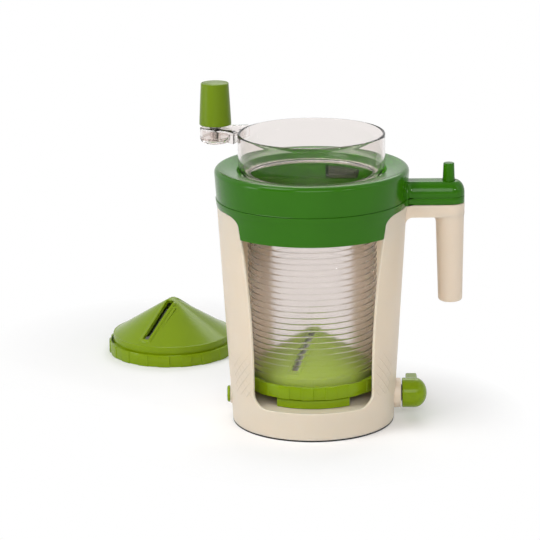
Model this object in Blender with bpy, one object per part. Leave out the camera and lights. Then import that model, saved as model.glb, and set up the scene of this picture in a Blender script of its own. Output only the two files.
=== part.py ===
"""A hand cranked spiralizer with its spare cone insert.

The vegetable stands on a prong plate in the housing. A clear drum with an outside thread turns in
a half nut in the green collar, so that cranking screws its cone insert down on the vegetable. The
housing stands on a suction pad, which a cam on the lime lever's axle lifts in the middle.

Lengths are metres. +Z is up, the front window faces -Y and the handle is at +X. The origin is on
the drum's axis, where the suction pad meets the table.
"""

import math

import bmesh
import bpy
from mathutils import Matrix, Vector

# Clearances that the whole part shares
GAP = 0.0003
OVERRUN = 0.0020
EMBED = 0.0006

# How finely round shapes are divided
ROUND_SIDES = 40
SMALL_SIDES = 12
PIN_SIDES = 8
CORNER_STEPS = 3
GRIP_SIDES = 20
SHOULDER_STEPS = 3
SPRING_STEPS = 8
SPRING_SIDES = 5
WINDOW_STEPS = 5

# Housing: a slightly conical wall, a floor and two posts beside a large front window
HOUSING_STAND = 0.0170
HOUSING_TAPER_SHARE = 0.0585
HOUSING_TOP = 0.2140
HOUSING_WALL = 0.0026
FLOOR_TOP = 0.0280
FLOOR_THICKNESS = 0.0025
WINDOW_SILL = 0.0005
WINDOW_SIDE = 0.0206
WINDOW_FLARE = 0.0132
WINDOW_FLARE_START = 0.0570
WINDOW_CORNER = 0.0130
POST_CORNER = 0.0110
WINDOW_DEPTH_SHARE = 0.3
REAR_WINDOW_SIDE = 0.0360
REAR_WINDOW_SILL = 0.0170
REAR_WINDOW_DROP = 0.0290
REAR_WINDOW_CORNER = 0.0120

# Handle: an arm in three layers over a round grip
ARM_HALF_WIDTH = 0.0140
ARM_REACH = 0.0409
ARM_DEPTH = 0.0117
ARM_WALL = 0.0023
ARM_COVER_HEIGHT = 0.01465
ARM_COVER_ROUND = 0.0070
GRIP_TOP_INSET = 0.0004
GRIP_BOTTOM_RADIUS = 0.01155
GRIP_LENGTH = 0.0850
GRIP_LEAN = 0.0009
GRIP_END_ROUND = 0.0030
GRIP_FILLET = 0.0060
GRIP_FLOOR = 0.0037

# Green collar in two layers
COLLAR_SKIRT_DEPTH = 0.0210
COLLAR_WEB = 0.0025
COLLAR_RISE = 0.00675
COLLAR_LIP_LOW = 0.0004
COLLAR_LIP_HIGH = 0.0009
COLLAR_WALL = 0.0024
SKIRT_THICKNESS = 0.0040
UPPER_HEIGHT = 0.02895
UPPER_FLARE = 0.0008
UPPER_ROUND = 0.0045
UPPER_DISH = 0.0026
SEAT_HEIGHT = 0.01725
RECESS_PLAY = 0.0010
COLLAR_SCREW_ANGLES_SHARE = (110 / 360, 180 / 360, 250 / 360, 320 / 360)
COLLAR_BOSS_RADIUS = 0.0045

# Screws: the smaller kind holds the blades and the half nut
SCREW_RADIUS = 0.0015
SCREW_HEAD_RADIUS = 0.0029
SCREW_HEAD_HEIGHT = 0.0022
FINE_SCREW_RADIUS = 0.0010
FINE_HEAD_RADIUS = 0.0019
FINE_HEAD_HEIGHT = 0.0012

# Clear drum with its thread, cup and crank arm
DRUM_RADIUS = 0.0610
DRUM_WALL = 0.0022
DRUM_SIDES = 24
THREAD_LEAD = 0.00585
THREAD_WIDTH = 0.0030
THREAD_HEIGHT = 0.0022
THREAD_START = 0.00856
THREAD_RUNOUT_SHARE = 0.25
BORE_PLAY = 0.0014
NECK_PLAY = 0.0006
NECK_RING_WIDTH = 0.0059
NECK_RING_HEIGHT = 0.0024
CUP_FLARE = 0.0090
CUP_WALL = 0.0025
CUP_HEIGHT = 0.0410
SHOULDER_HEIGHT = 0.0134
SHOULDER_WALL = 0.0024
LUG_WIDTH_SHARE = 18 / 360
LUG_HEIGHT = 0.0026
CRANK_TURN_SHARE = 161 / 360
CRANK_STAND = 0.0272
CRANK_SINK = 0.0004
CRANK_ROOT_HALF_WIDTH = 0.0195
CRANK_DEPTH = 0.0112
CRANK_BOSS_RADIUS = 0.0148
CRANK_BOSS_DEPTH = 0.0152
CRANK_WALL = 0.0022
CRANK_POST_RADIUS = 0.0056

# Crank knob on its axle
KNOB_LOW_RADIUS = 0.0154
KNOB_HIGH_RADIUS = 0.0133
KNOB_HEIGHT = 0.0406
KNOB_WALL = 0.0030
KNOB_FLOOR = 0.0070
KNOB_EDGE = 0.0010
KNOB_CAP_HEIGHT = 0.0028
KNOB_CAP_LEDGE = 0.0014
KNOB_AXLE_RADIUS = 0.0030
KNOB_HEAD_RADIUS = 0.0055
KNOB_HEAD_HEIGHT = 0.0036
WASHER_RADIUS = 0.0062
WASHER_HEIGHT = 0.0018

# Cone inserts
INSERT_CLEARANCE = 0.0010
INSERT_FLOOR = 0.0072
INSERT_RING_HEIGHT = 0.0130
INSERT_RING_WALL = 0.0024
INSERT_RING_PLAY = 0.0016
INSERT_PAD = 0.0008
INSERT_PADS = 18
INSERT_CONE_RISE = 0.0446
SPARE_CONE_RISE = 0.0480
CONE_MARGIN = 0.0035
CONE_WALL = 0.0022
CONE_TIP_SHARE = 0.03
TAB_WIDTH_SHARE = 24 / 360
TAB_HEIGHT = 0.0023
TAB_PLAY = 0.0010
BAYONET_SHARES = (90 / 360, 210 / 360, 330 / 360)
INSERT_SLOT_TURN_SHARE = 247 / 360
SPARE_SLOT_TURN_SHARE = 240 / 360
SLOT_WIDTH = 0.0055
SLOT_OFFSET = 0.0020
SLOT_START = 0.0040
SLOT_LENGTH = 0.0550
SLOT_LIP = 0.0016
SLOT_LIP_WIDTH = 0.0020
BLADE_SEAT = 0.0025
BLADE_SEAT_WIDTH = 0.0100
BLADE_LENGTH = 0.0400
BLADE_START = 0.0140
BLADE_THICKNESS = 0.0008
BLADE_EDGE = 0.0012
BLADE_WIDTH = 0.0070
BLADE_SCREW_INSET = 0.0060
SPARE_X = -0.1485
SPARE_Y = 0.2290

# Half nut and its release lever
NUT_TURN_SHARE = 60.6 / 360
NUT_WIDTH_SHARE = 29 / 360
NUT_SLOT_SHARE = 34 / 360
NUT_TOOTH_SHARE = 27 / 360
NUT_TONGUE_SHARE = 25 / 360
NUT_STAND = 0.0008
NUT_DEPTH = 0.0090
NUT_TOOTH_WIDTH = 0.0024
NUT_TOOTH_TIP = 0.0006
NUT_TONGUE_HEIGHT = 0.0040
LEVER_LIFT = 0.0022
LEVER_THICKNESS = 0.0050
LEVER_BAND_WIDTH = 0.0060
LEVER_HALF_WIDTH = 0.0050
PIVOT_STAND = 0.0052
PIVOT_RADIUS = 0.0020
PIVOT_BOSS_RADIUS = 0.0050
PEG_LOW_RADIUS = 0.0058
PEG_HIGH_RADIUS = 0.0045
PEG_HEIGHT = 0.0290
PEG_TRAVEL = 0.0019
PEG_EDGE = 0.0010
SPRING_RADIUS = 0.0021
SPRING_WIRE = 0.0004
SPRING_TURNS = 5

# Prong plate on the pedestal
LIP_HEIGHT = 0.0085
LIP_HALF_WIDTH = 0.0345
LIP_STAND = 0.0030
LIP_THICKNESS = 0.0025
TONGUE_THICKNESS = 0.0029
HUB_WALL = 0.0025
HUB_ROOF = 0.0025
PRONG_RADIUS = 0.0010
PRONG_HEIGHT = 0.0072
PRONG_DEPTH = 0.0016
PRONG_CIRCLE = 0.0090
PRONG_COUNT = 6

# Suction foot
AXLE_HEIGHT = 0.0240
AXLE_RADIUS = 0.0026
AXLE_PLAY = 0.0004
TUNNEL_WALL = 0.0022
BUSH_WALL = 0.0023
BUSH_FLANGE_WIDTH = 0.0028
BUSH_FLANGE = 0.0007
BUSH_STOP = 0.0015
LEVER_BOSS_RADIUS = 0.0142
LEVER_BOSS_STAND = 0.0056
CAP_BOSS_RADIUS = 0.0090
CAP_BOSS_STAND = 0.0010
BOSS_DEPTH = 0.0023
LEVER_DOME_RADIUS = 0.0144
LEVER_DOME_LENGTH = 0.0240
LEVER_DOME_STRAIGHT = 0.0122
LEVER_ARM_START = 0.0049
LEVER_ARM_WIDTH = 0.0110
LEVER_ARM_LENGTH = 0.0495
LEVER_ARM_HALF_HEIGHT = 0.0055
LEVER_SOCKET = 0.0072
AXLE_CAP_RADIUS = 0.0080
AXLE_CAP_LENGTH = 0.0028
AXLE_CAP_SOCKET = 0.0021
CAM_BASE = 0.0048
CAM_HALF_WIDTH = 0.0030
CUP_LIFT = 0.0030
CAM_MARGIN_SHARE = 5 / 360
YOKE_PLAY = 0.0009
YOKE_BAR = 0.0022
YOKE_HALF_WIDTH = 0.0040
POCKET_PLAY = 0.0006
PEDESTAL_WALL = 0.0023
PEDESTAL_ROOF = 0.0022
PAD_INSET = 0.0008
PAD_EDGE = 0.0012
PAD_MEMBRANE = 0.0024
PAD_RIM_WIDTH = 0.0051
PAD_RIM_INSET = 0.0021
PAD_RIM_HEIGHT = 0.0065
PAD_BOSS_WALL = 0.0037
PAD_SKIN = 0.0029
BUTTON_RADIUS = 0.0110
BUTTON_HEIGHT = 0.0020
STEM_RADIUS = 0.0040
PAD_LIP = 0.0022
COVER_THICKNESS = 0.0024
COVER_INSET = 0.0010
COVER_HOLE_PLAY = 0.0015
COVER_BOSS_RADIUS = 0.0040
COVER_BOSS_INSET = 0.0180
COVER_SCREW_DEPTH = 0.0110

# The housing stands round the drum
BASE_RADIUS = DRUM_RADIUS + HOUSING_STAND

# Directions in which a shape is drawn and then carried: front is XZ along Y, side is YZ along X
FRONT = Matrix(((1, 0, 0, 0), (0, 0, 1, 0), (0, 1, 0, 0), (0, 0, 0, 1)))
SIDE = Matrix(((0, 0, 1, 0), (1, 0, 0, 0), (0, 1, 0, 0), (0, 0, 0, 1)))
LEVEL = Matrix.Identity(4)

# Colours as linear red, green, blue and alpha, then roughness and metallic
FINISHES = {
    "cream_plastic": ((0.78, 0.66, 0.56, 1.0), 0.35, 0.0),
    "green_plastic": ((0.037, 0.156, 0.011, 1.0), 0.30, 0.0),
    "lime_plastic": ((0.25, 0.37, 0.025, 1.0), 0.32, 0.0),
    "clear_plastic": ((0.83, 0.81, 0.79, 0.35), 0.08, 0.0),
    "clear_silicone": ((0.80, 0.80, 0.78, 0.6), 0.45, 0.0),
    "grey_nylon": ((0.30, 0.33, 0.27, 1.0), 0.45, 0.0),
    "black_rubber": ((0.012, 0.012, 0.012, 1.0), 0.70, 0.0),
    "steel": ((0.62, 0.62, 0.61, 1.0), 0.25, 1.0),
}


def turn_angle(share):
    """A share of a full turn as an angle."""
    return share * math.tau


def around(radius, angle):
    """The point at a radius and an angle, anticlockwise from +X."""
    return (radius * math.cos(angle), radius * math.sin(angle))


def housing_radius(height):
    """The housing's outer radius at a height."""
    return BASE_RADIUS + HOUSING_TAPER_SHARE * height


# Heights and radii that several pieces share
WINDOW_HALF_WIDTH = BASE_RADIUS - WINDOW_SIDE
REAR_WINDOW_HALF_WIDTH = BASE_RADIUS - REAR_WINDOW_SIDE
CUP_RADIUS = DRUM_RADIUS + CUP_FLARE
RECESS_RADIUS = CUP_RADIUS + RECESS_PLAY
CRANK_REACH = CUP_RADIUS + CRANK_STAND
LIP_RADIUS = DRUM_RADIUS + LIP_STAND
PAD_RADIUS = BASE_RADIUS - PAD_INSET
COVER_BOSS_CIRCLE = BASE_RADIUS - COVER_BOSS_INSET
TUNNEL_RADIUS = AXLE_RADIUS + AXLE_PLAY + TUNNEL_WALL
GRIP_TOP_RADIUS = ARM_HALF_WIDTH - GRIP_TOP_INSET
YOKE_INNER_TOP = AXLE_HEIGHT + CAM_BASE + GAP
YOKE_INNER_HALF = CAM_BASE + CUP_LIFT + YOKE_PLAY
YOKE_INNER_LOW = AXLE_HEIGHT - CAM_BASE - CUP_LIFT - GAP
POCKET_RADIUS = math.hypot(YOKE_INNER_HALF + YOKE_BAR, YOKE_HALF_WIDTH) + POCKET_PLAY
POCKET_TOP = YOKE_INNER_TOP + YOKE_BAR + CUP_LIFT + POCKET_PLAY
PEDESTAL_RADIUS = POCKET_RADIUS + PEDESTAL_WALL
PEDESTAL_TOP = POCKET_TOP + PEDESTAL_ROOF
FLOOR_BOTTOM = FLOOR_TOP - FLOOR_THICKNESS
WALL_BOTTOM = PAD_EDGE + GAP
COVER_BOTTOM = PAD_RIM_HEIGHT + GAP
COVER_TOP = COVER_BOTTOM + COVER_THICKNESS
ARM_LOW = HOUSING_TOP - ARM_DEPTH
ARM_END = housing_radius(HOUSING_TOP) + ARM_REACH
COLLAR_LOW = HOUSING_TOP - COLLAR_SKIRT_DEPTH
COLLAR_SEAT = HOUSING_TOP + GAP
COLLAR_TOP = COLLAR_SEAT + COLLAR_RISE
UPPER_LOW = COLLAR_TOP + GAP
UPPER_TOP = UPPER_LOW + UPPER_HEIGHT
ARM_TOP = UPPER_LOW + ARM_COVER_HEIGHT
COLLAR_RADIUS = housing_radius(COLLAR_TOP) + COLLAR_LIP_HIGH
NECK_SEAT = UPPER_LOW + SEAT_HEIGHT
BORE_RADIUS = DRUM_RADIUS + THREAD_HEIGHT + BORE_PLAY
SLEEVE_RADIUS = BORE_RADIUS + COLLAR_WALL
TROUGH_RADIUS = housing_radius(COLLAR_LOW) - HOUSING_WALL - GAP - COLLAR_WALL
BOSS_CIRCLE = (SLEEVE_RADIUS + TROUGH_RADIUS) / 2
NECK_HEIGHT = NECK_SEAT + NECK_RING_HEIGHT + 2 * GAP
RIM_HEIGHT = NECK_HEIGHT + CUP_HEIGHT
TONGUE_TOP = FLOOR_TOP + LIP_HEIGHT
INSERT_LOW = TONGUE_TOP + INSERT_CLEARANCE
DRUM_LOW = INSERT_LOW + INSERT_FLOOR + GAP
THREAD_TURNS = math.floor((NECK_HEIGHT - DRUM_LOW - THREAD_START - THREAD_WIDTH) / THREAD_LEAD) - 1
CRANK_TOP = RIM_HEIGHT - CRANK_SINK
CRANK_X, CRANK_Y = around(CRANK_REACH, turn_angle(CRANK_TURN_SHARE))
KNOB_LOW = CRANK_TOP + GAP + WASHER_HEIGHT + GAP
KNOB_TOP = KNOB_LOW + KNOB_HEIGHT
RING_INNER = DRUM_RADIUS + THREAD_HEIGHT + INSERT_RING_PLAY
RING_OUTER = RING_INNER + INSERT_RING_WALL
CONE_RADIUS = DRUM_RADIUS - CONE_MARGIN
LEVER_LOW = UPPER_LOW + LEVER_LIFT
LEVER_TOP = LEVER_LOW + LEVER_THICKNESS
NUT_INNER = DRUM_RADIUS + THREAD_HEIGHT + NUT_STAND
NUT_OUTER = NUT_INNER + NUT_DEPTH
NUT_TOP = NECK_SEAT - COLLAR_WALL - GAP
BAND_INNER = NUT_OUTER + GAP
BAND_OUTER = BAND_INNER + LEVER_BAND_WIDTH
PIVOT_X = COLLAR_RADIUS + PIVOT_STAND
PEG_X = ARM_END - EMBED
BOSS_FACE = housing_radius(AXLE_HEIGHT) + LEVER_BOSS_STAND
CAP_FACE = -housing_radius(AXLE_HEIGHT) - CAP_BOSS_STAND
BOSS_INNER = housing_radius(AXLE_HEIGHT) - HOUSING_WALL - BOSS_DEPTH
BUSH_INNER = BOSS_INNER + BUSH_STOP
BUSH_RADIUS = AXLE_RADIUS + GAP + BUSH_WALL
DOME_START = BOSS_FACE + GAP + BUSH_FLANGE + GAP


def made(form):
    """Turn a bmesh into an object with its faces pointing outwards."""
    bmesh.ops.recalc_face_normals(form, faces=form.faces)
    mesh = bpy.data.meshes.new("shape")
    form.to_mesh(mesh)
    form.free()
    shape = bpy.data.objects.new("shape", mesh)
    bpy.context.scene.collection.objects.link(shape)
    return shape


def turned(profile, sides=ROUND_SIDES, centre=(0.0, 0.0)):
    """Turn a closed outline of radii and heights about the vertical through a centre."""
    form = bmesh.new()
    rings = []
    for radius, height in profile:
        ring = []
        for step in range(sides if radius > 0 else 1):
            x, y = around(radius, turn_angle(step / sides))
            ring.append(form.verts.new((centre[0] + x, centre[1] + y, height)))
        rings.append(ring)
    for ring, other in zip(rings, rings[1:] + rings[:1]):
        for step in range(sides):
            corners = (
                ring[step % len(ring)],
                ring[(step + 1) % len(ring)],
                other[(step + 1) % len(other)],
                other[step % len(other)],
            )
            corners = list(dict.fromkeys(corners))
            if len(corners) > 2:
                form.faces.new(corners)
    return made(form)


def loft(sections):
    """Skin a row of sections, each a loop of the same number of points, and cap both ends."""
    form = bmesh.new()
    loops = [[form.verts.new(point) for point in section] for section in sections]
    for loop, other in zip(loops, loops[1:]):
        for index in range(len(loop)):
            form.faces.new((loop[index - 1], loop[index], other[index], other[index - 1]))
    form.faces.new(loops[0])
    form.faces.new(loops[-1])
    return made(form)


def prism(outline, low, high, frame=LEVEL):
    """Carry an outline from one level to another, in the directions of a frame."""
    return loft([[frame @ Vector((u, v, level)) for u, v in outline] for level in (low, high)])


def arc(centre, radius, start, end, steps):
    """Points along an arc, both ends included."""
    points = []
    for step in range(steps + 1):
        u, v = around(radius, start + (end - start) * step / steps)
        points.append((centre[0] + u, centre[1] + v))
    return points


def rod(radius, low, high, centre=(0.0, 0.0), frame=LEVEL, sides=SMALL_SIDES):
    """A round bar between two levels, with a flat side towards each axis."""
    half_side = math.pi / sides
    outline = arc(centre, radius, half_side, half_side + math.tau, sides)[:-1]
    return prism(outline, low, high, frame)


def box(lows, highs, frame=LEVEL):
    """A block between two corners."""
    outline = [(lows[0], lows[1]), (highs[0], lows[1]), (highs[0], highs[1]), (lows[0], highs[1])]
    return prism(outline, lows[2], highs[2], frame)


def sector(inner, outer, start, end, low, high, steps):
    """A piece of a ring between two angles."""
    outline = arc((0.0, 0.0), outer, start, end, steps)
    outline += reversed(arc((0.0, 0.0), inner, start, end, steps))
    return prism(outline, low, high)


def capsule(start, end, radius):
    """The outline of a bar with round ends, between two points on a line along one axis."""
    heading = math.atan2(end[1] - start[1], end[0] - start[0])
    quarter = math.pi / 2
    steps = 2 * CORNER_STEPS
    far = arc(end, radius, heading - quarter, heading + quarter, steps)
    return far + arc(start, radius, heading + quarter, heading + 3 * quarter, steps)


def arm_outline(root, half_width):
    """The handle arm in plan: square at the root, round about the arm's end."""
    quarter = math.pi / 2
    points = [(root, -half_width)]
    points += arc((ARM_END, 0.0), half_width, -quarter, quarter, 4 * CORNER_STEPS)
    points.append((root, half_width))
    return points


def combine(target, tool, operation):
    """Carry out one Boolean on the target and remove the tool."""
    modifier = target.modifiers.new("combine", "BOOLEAN")
    modifier.operation = operation
    modifier.solver = "EXACT"
    modifier.object = tool
    graph = bpy.context.evaluated_depsgraph_get()
    mesh = bpy.data.meshes.new_from_object(target.evaluated_get(graph))
    target.modifiers.clear()
    target.data = mesh
    bpy.data.objects.remove(tool)
    return target


def join(target, *tools):
    for tool in tools:
        combine(target, tool, "UNION")
    return target


def cut(target, *tools):
    for tool in tools:
        combine(target, tool, "DIFFERENCE")
    return target


def keep(target, tool):
    return combine(target, tool, "INTERSECT")


def finish_material(name):
    """A Principled material with the piece's colour, roughness and metallic value."""
    known = bpy.data.materials.get(name)
    if known:
        return known
    colour, roughness, metallic = FINISHES[name]
    material = bpy.data.materials.new(name)
    material.use_nodes = True
    shader = material.node_tree.nodes["Principled BSDF"]
    shader.inputs["Base Color"].default_value = (*colour[:3], 1.0)
    shader.inputs["Roughness"].default_value = roughness
    shader.inputs["Metallic"].default_value = metallic
    shader.inputs["Alpha"].default_value = colour[3]
    return material


def pivot(name, location):
    """An empty on a joint's axis, which carries the pieces that move with it."""
    empty = bpy.data.objects.new(name, None)
    empty.location = location
    bpy.context.scene.collection.objects.link(empty)
    return empty


def place(shape, name, finish, carrier=None):
    """Name a finished piece, give it its material and hang it on its carrier."""
    shape.name = name
    shape.data.name = name
    shape.data.materials.clear()
    shape.data.materials.append(finish_material(finish))
    shape.data.shade_smooth()
    shape.data.set_sharp_from_angle(angle=math.radians(35))
    if carrier:
        shape.parent = carrier
        shape.location = -carrier.location


def place_each(shapes, name, finish, carrier=None):
    """Place like pieces under one name with a number."""
    for number, shape in enumerate(shapes, start=1):
        place(shape, f"{name}_{number}", finish, carrier)


# Housing

def window_half_width(height):
    """The front window's half width: straight low down, then flaring to the top."""
    rise = max(0.0, height - WINDOW_FLARE_START) / (HOUSING_TOP - WINDOW_FLARE_START)
    return WINDOW_HALF_WIDTH + WINDOW_FLARE * rise ** 2


def window_outline(inset, top):
    """The front window seen from the front, drawn in by an inset and open at the top."""
    quarter = math.pi / 2
    low = FLOOR_TOP + WINDOW_SILL
    bend = (WINDOW_HALF_WIDTH - WINDOW_CORNER, low + WINDOW_CORNER)
    right = arc(bend, WINDOW_CORNER - inset, -quarter, 0.0, CORNER_STEPS)
    start = low + WINDOW_CORNER
    end = HOUSING_TOP - POST_CORNER
    for step in range(1, WINDOW_STEPS):
        height = start + (end - start) * step / WINDOW_STEPS
        right.append((window_half_width(height) - inset, height))
    post = (window_half_width(end) + POST_CORNER, end)
    right += arc(post, POST_CORNER + inset, 2 * quarter, quarter, CORNER_STEPS)
    right.append((post[0], top))
    left = [(-x, height) for x, height in reversed(right)]
    return right + left


def rounded_rectangle(half_width, low, high, corner):
    """An upright rectangle with round corners, centred on the vertical."""
    quarter = math.pi / 2
    points = []
    corners = ((1, low, -1), (1, high, 0), (-1, high, 1), (-1, low, 2))
    for side, level, turn in corners:
        inward = corner if level == low else -corner
        centre = (side * (half_width - corner), level + inward)
        points += arc(centre, corner, turn * quarter, (turn + 1) * quarter, CORNER_STEPS)
    return points


def grip_section(height, radius, stretch, centre):
    """A round section of the grip, drawn out towards the housing by a stretch."""
    points = []
    for step in range(GRIP_SIDES):
        x, y = around(radius, turn_angle(step / GRIP_SIDES))
        points.append((centre + x - stretch * max(0.0, -x / radius), y, height))
    return points


def grip_shape():
    """The grip, tapering downwards, with a round end and a fillet under the arm."""
    bottom = ARM_LOW - GRIP_LENGTH
    quarter = math.pi / 2
    rows = []
    for step in range(CORNER_STEPS + 1):
        angle = quarter * step / CORNER_STEPS
        height = bottom + GRIP_END_ROUND * (1 - math.cos(angle))
        rows.append((height, GRIP_END_ROUND * (1 - math.sin(angle)), 0.0))
    for step in range(CORNER_STEPS + 1):
        angle = quarter * step / CORNER_STEPS
        height = ARM_LOW - GRIP_FILLET * (1 - math.sin(angle))
        rows.append((height, 0.0, GRIP_FILLET * (1 - math.cos(angle))))
    rows.append((ARM_LOW + EMBED, 0.0, GRIP_FILLET))
    sections = []
    for height, shrink, stretch in rows:
        share = min(1.0, (height - bottom) / GRIP_LENGTH)
        radius = GRIP_BOTTOM_RADIUS + (GRIP_TOP_RADIUS - GRIP_BOTTOM_RADIUS) * share
        centre = ARM_END + GRIP_LEAN * (1 - share)
        sections.append(grip_section(height, radius - shrink, stretch, centre))
    return loft(sections)


def grip_hollow():
    """The hollow of the grip, open into the arm above it."""
    sections = [
        grip_section(
            ARM_LOW - GRIP_LENGTH + GRIP_FLOOR,
            GRIP_BOTTOM_RADIUS - ARM_WALL,
            0.0,
            ARM_END + GRIP_LEAN,
        ),
        grip_section(ARM_LOW + ARM_WALL + EMBED, GRIP_TOP_RADIUS - ARM_WALL, 0.0, ARM_END),
    ]
    return loft(sections)


def wall_core(low, high, depth):
    """The space inside the housing's wall, up to a depth below its outer face."""
    return turned(
        [
            (0.0, low),
            (housing_radius(low) - depth, low),
            (housing_radius(high) - depth, high),
            (0.0, high),
        ]
    )


def cover_screw_places():
    return [around(COVER_BOSS_CIRCLE, turn_angle((corner + 0.5) / 4)) for corner in range(4)]


def make_housing():
    shell = turned(
        [
            (housing_radius(WALL_BOTTOM), WALL_BOTTOM),
            (housing_radius(HOUSING_TOP), HOUSING_TOP),
            (housing_radius(HOUSING_TOP) - HOUSING_WALL, HOUSING_TOP),
            (housing_radius(FLOOR_TOP) - HOUSING_WALL, FLOOR_TOP),
            (PEDESTAL_RADIUS, FLOOR_TOP),
            (PEDESTAL_RADIUS, PEDESTAL_TOP),
            (0.0, PEDESTAL_TOP),
            (0.0, FLOOR_BOTTOM),
            (housing_radius(FLOOR_BOTTOM) - HOUSING_WALL, FLOOR_BOTTOM),
            (housing_radius(WALL_BOTTOM) - HOUSING_WALL, WALL_BOTTOM),
        ]
    )
    reach = housing_radius(HOUSING_TOP) + OVERRUN
    front = window_outline(0.0, HOUSING_TOP + OVERRUN)
    cut(shell, prism(front, -reach, -WINDOW_DEPTH_SHARE * reach, FRONT))
    rear = rounded_rectangle(
        REAR_WINDOW_HALF_WIDTH,
        FLOOR_TOP + REAR_WINDOW_SILL,
        HOUSING_TOP - REAR_WINDOW_DROP,
        REAR_WINDOW_CORNER,
    )
    cut(shell, prism(rear, WINDOW_DEPTH_SHARE * reach, reach, FRONT))

    arm = prism(arm_outline(DRUM_RADIUS, ARM_HALF_WIDTH), ARM_LOW, HOUSING_TOP - EMBED)
    cut(arm, wall_core(ARM_LOW - OVERRUN, HOUSING_TOP + OVERRUN, HOUSING_WALL / 2))
    join(arm, grip_shape())
    join(shell, arm)
    tray = arm_outline(housing_radius(HOUSING_TOP) + ARM_WALL, ARM_HALF_WIDTH - ARM_WALL)
    cut(shell, prism(tray, ARM_LOW + ARM_WALL, HOUSING_TOP + OVERRUN), grip_hollow())

    wall_middle = housing_radius(AXLE_HEIGHT) - HOUSING_WALL / 2
    axle_centre = (0.0, AXLE_HEIGHT)
    tunnel = rod(TUNNEL_RADIUS, -wall_middle, wall_middle, axle_centre, SIDE)
    right_boss = rod(LEVER_BOSS_RADIUS, BOSS_INNER, BOSS_FACE, axle_centre, SIDE, GRIP_SIDES)
    left_boss = rod(CAP_BOSS_RADIUS, CAP_FACE, -BOSS_INNER, axle_centre, SIDE, GRIP_SIDES)
    join(shell, tunnel, right_boss, left_boss)
    for place_of_screw in cover_screw_places():
        join(shell, rod(COVER_BOSS_RADIUS, COVER_TOP + GAP, FLOOR_BOTTOM + EMBED, place_of_screw))
        cut(
            shell,
            rod(SCREW_RADIUS + GAP, COVER_TOP, COVER_TOP + COVER_SCREW_DEPTH + GAP, place_of_screw),
        )
    cut(shell, rod(POCKET_RADIUS, AXLE_HEIGHT - TUNNEL_RADIUS - OVERRUN, POCKET_TOP, sides=GRIP_SIDES))
    bore = AXLE_RADIUS + AXLE_PLAY
    cut(shell, rod(bore, CAP_FACE - OVERRUN, BOSS_FACE + OVERRUN, axle_centre, SIDE))
    cut(shell, rod(BUSH_RADIUS + GAP, BUSH_INNER - GAP, BOSS_FACE + OVERRUN, axle_centre, SIDE))
    cut(shell, rod(BUSH_RADIUS + GAP, CAP_FACE - OVERRUN, GAP - BUSH_INNER, axle_centre, SIDE))
    place(shell, "housing", "cream_plastic")


# Collar

def screw(place_of_screw, seat, length, radius, head_radius, head_height):
    """An upright screw whose head hangs under its seat."""
    profile = [
        (0.0, seat - head_height),
        (head_radius, seat - head_height),
        (head_radius, seat),
        (radius, seat),
        (radius, seat + length),
        (0.0, seat + length),
    ]
    return turned(profile, PIN_SIDES, place_of_screw)


def collar_screw_places():
    return [around(BOSS_CIRCLE, turn_angle(share)) for share in COLLAR_SCREW_ANGLES_SHARE]


def make_lower_collar():
    low_outer = housing_radius(COLLAR_LOW) - HOUSING_WALL - GAP
    seat_outer = housing_radius(COLLAR_SEAT) - HOUSING_WALL - GAP
    web_low = COLLAR_LOW + EMBED
    collar = turned(
        [
            (BORE_RADIUS, web_low),
            (low_outer, web_low),
            (seat_outer, COLLAR_SEAT),
            (housing_radius(COLLAR_SEAT) + COLLAR_LIP_LOW, COLLAR_SEAT),
            (COLLAR_RADIUS, COLLAR_TOP),
            (TROUGH_RADIUS, COLLAR_TOP),
            (TROUGH_RADIUS, COLLAR_LOW + COLLAR_WEB),
            (SLEEVE_RADIUS, COLLAR_LOW + COLLAR_WEB),
            (SLEEVE_RADIUS, COLLAR_TOP),
            (BORE_RADIUS, COLLAR_TOP),
        ]
    )
    top = COLLAR_SEAT + EMBED
    skirt = turned(
        [
            (housing_radius(COLLAR_LOW) - SKIRT_THICKNESS, COLLAR_LOW),
            (housing_radius(COLLAR_LOW), COLLAR_LOW),
            (housing_radius(top), top),
            (housing_radius(COLLAR_LOW) - SKIRT_THICKNESS, top),
        ]
    )
    reach = housing_radius(HOUSING_TOP) + OVERRUN
    window = prism(window_outline(GAP, top + OVERRUN), -reach, -WINDOW_DEPTH_SHARE * reach, FRONT)
    join(collar, keep(skirt, window))

    tray_low = COLLAR_SEAT + EMBED / 2
    tray = prism(arm_outline(DRUM_RADIUS, ARM_HALF_WIDTH), tray_low, COLLAR_TOP - EMBED / 2)
    middle = (TROUGH_RADIUS + COLLAR_RADIUS) / 2
    cut(tray, rod(middle, COLLAR_SEAT - OVERRUN, COLLAR_TOP + OVERRUN, sides=ROUND_SIDES))
    hollow = arm_outline(COLLAR_RADIUS + ARM_WALL, ARM_HALF_WIDTH - ARM_WALL)
    cut(tray, prism(hollow, COLLAR_SEAT + ARM_WALL, COLLAR_TOP + OVERRUN))
    pivot_place = (PIVOT_X, 0.0)
    join(tray, rod(PIVOT_BOSS_RADIUS, COLLAR_SEAT + EMBED, LEVER_LOW - GAP, pivot_place))
    join(collar, tray)
    hole = PIVOT_RADIUS + GAP
    cut(collar, rod(hole, COLLAR_SEAT + ARM_WALL, LEVER_LOW + OVERRUN, pivot_place))

    for place_of_screw in collar_screw_places():
        join(collar, rod(COLLAR_BOSS_RADIUS, web_low + EMBED, COLLAR_TOP, place_of_screw))
        head = rod(
            SCREW_HEAD_RADIUS + GAP,
            COLLAR_LOW - OVERRUN,
            COLLAR_LOW + SCREW_HEAD_HEIGHT + 2 * GAP,
            place_of_screw,
        )
        shank = rod(SCREW_RADIUS + GAP, COLLAR_LOW, COLLAR_TOP + OVERRUN, place_of_screw)
        cut(collar, head, shank)
    place(collar, "lower_collar", "green_plastic")


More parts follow.
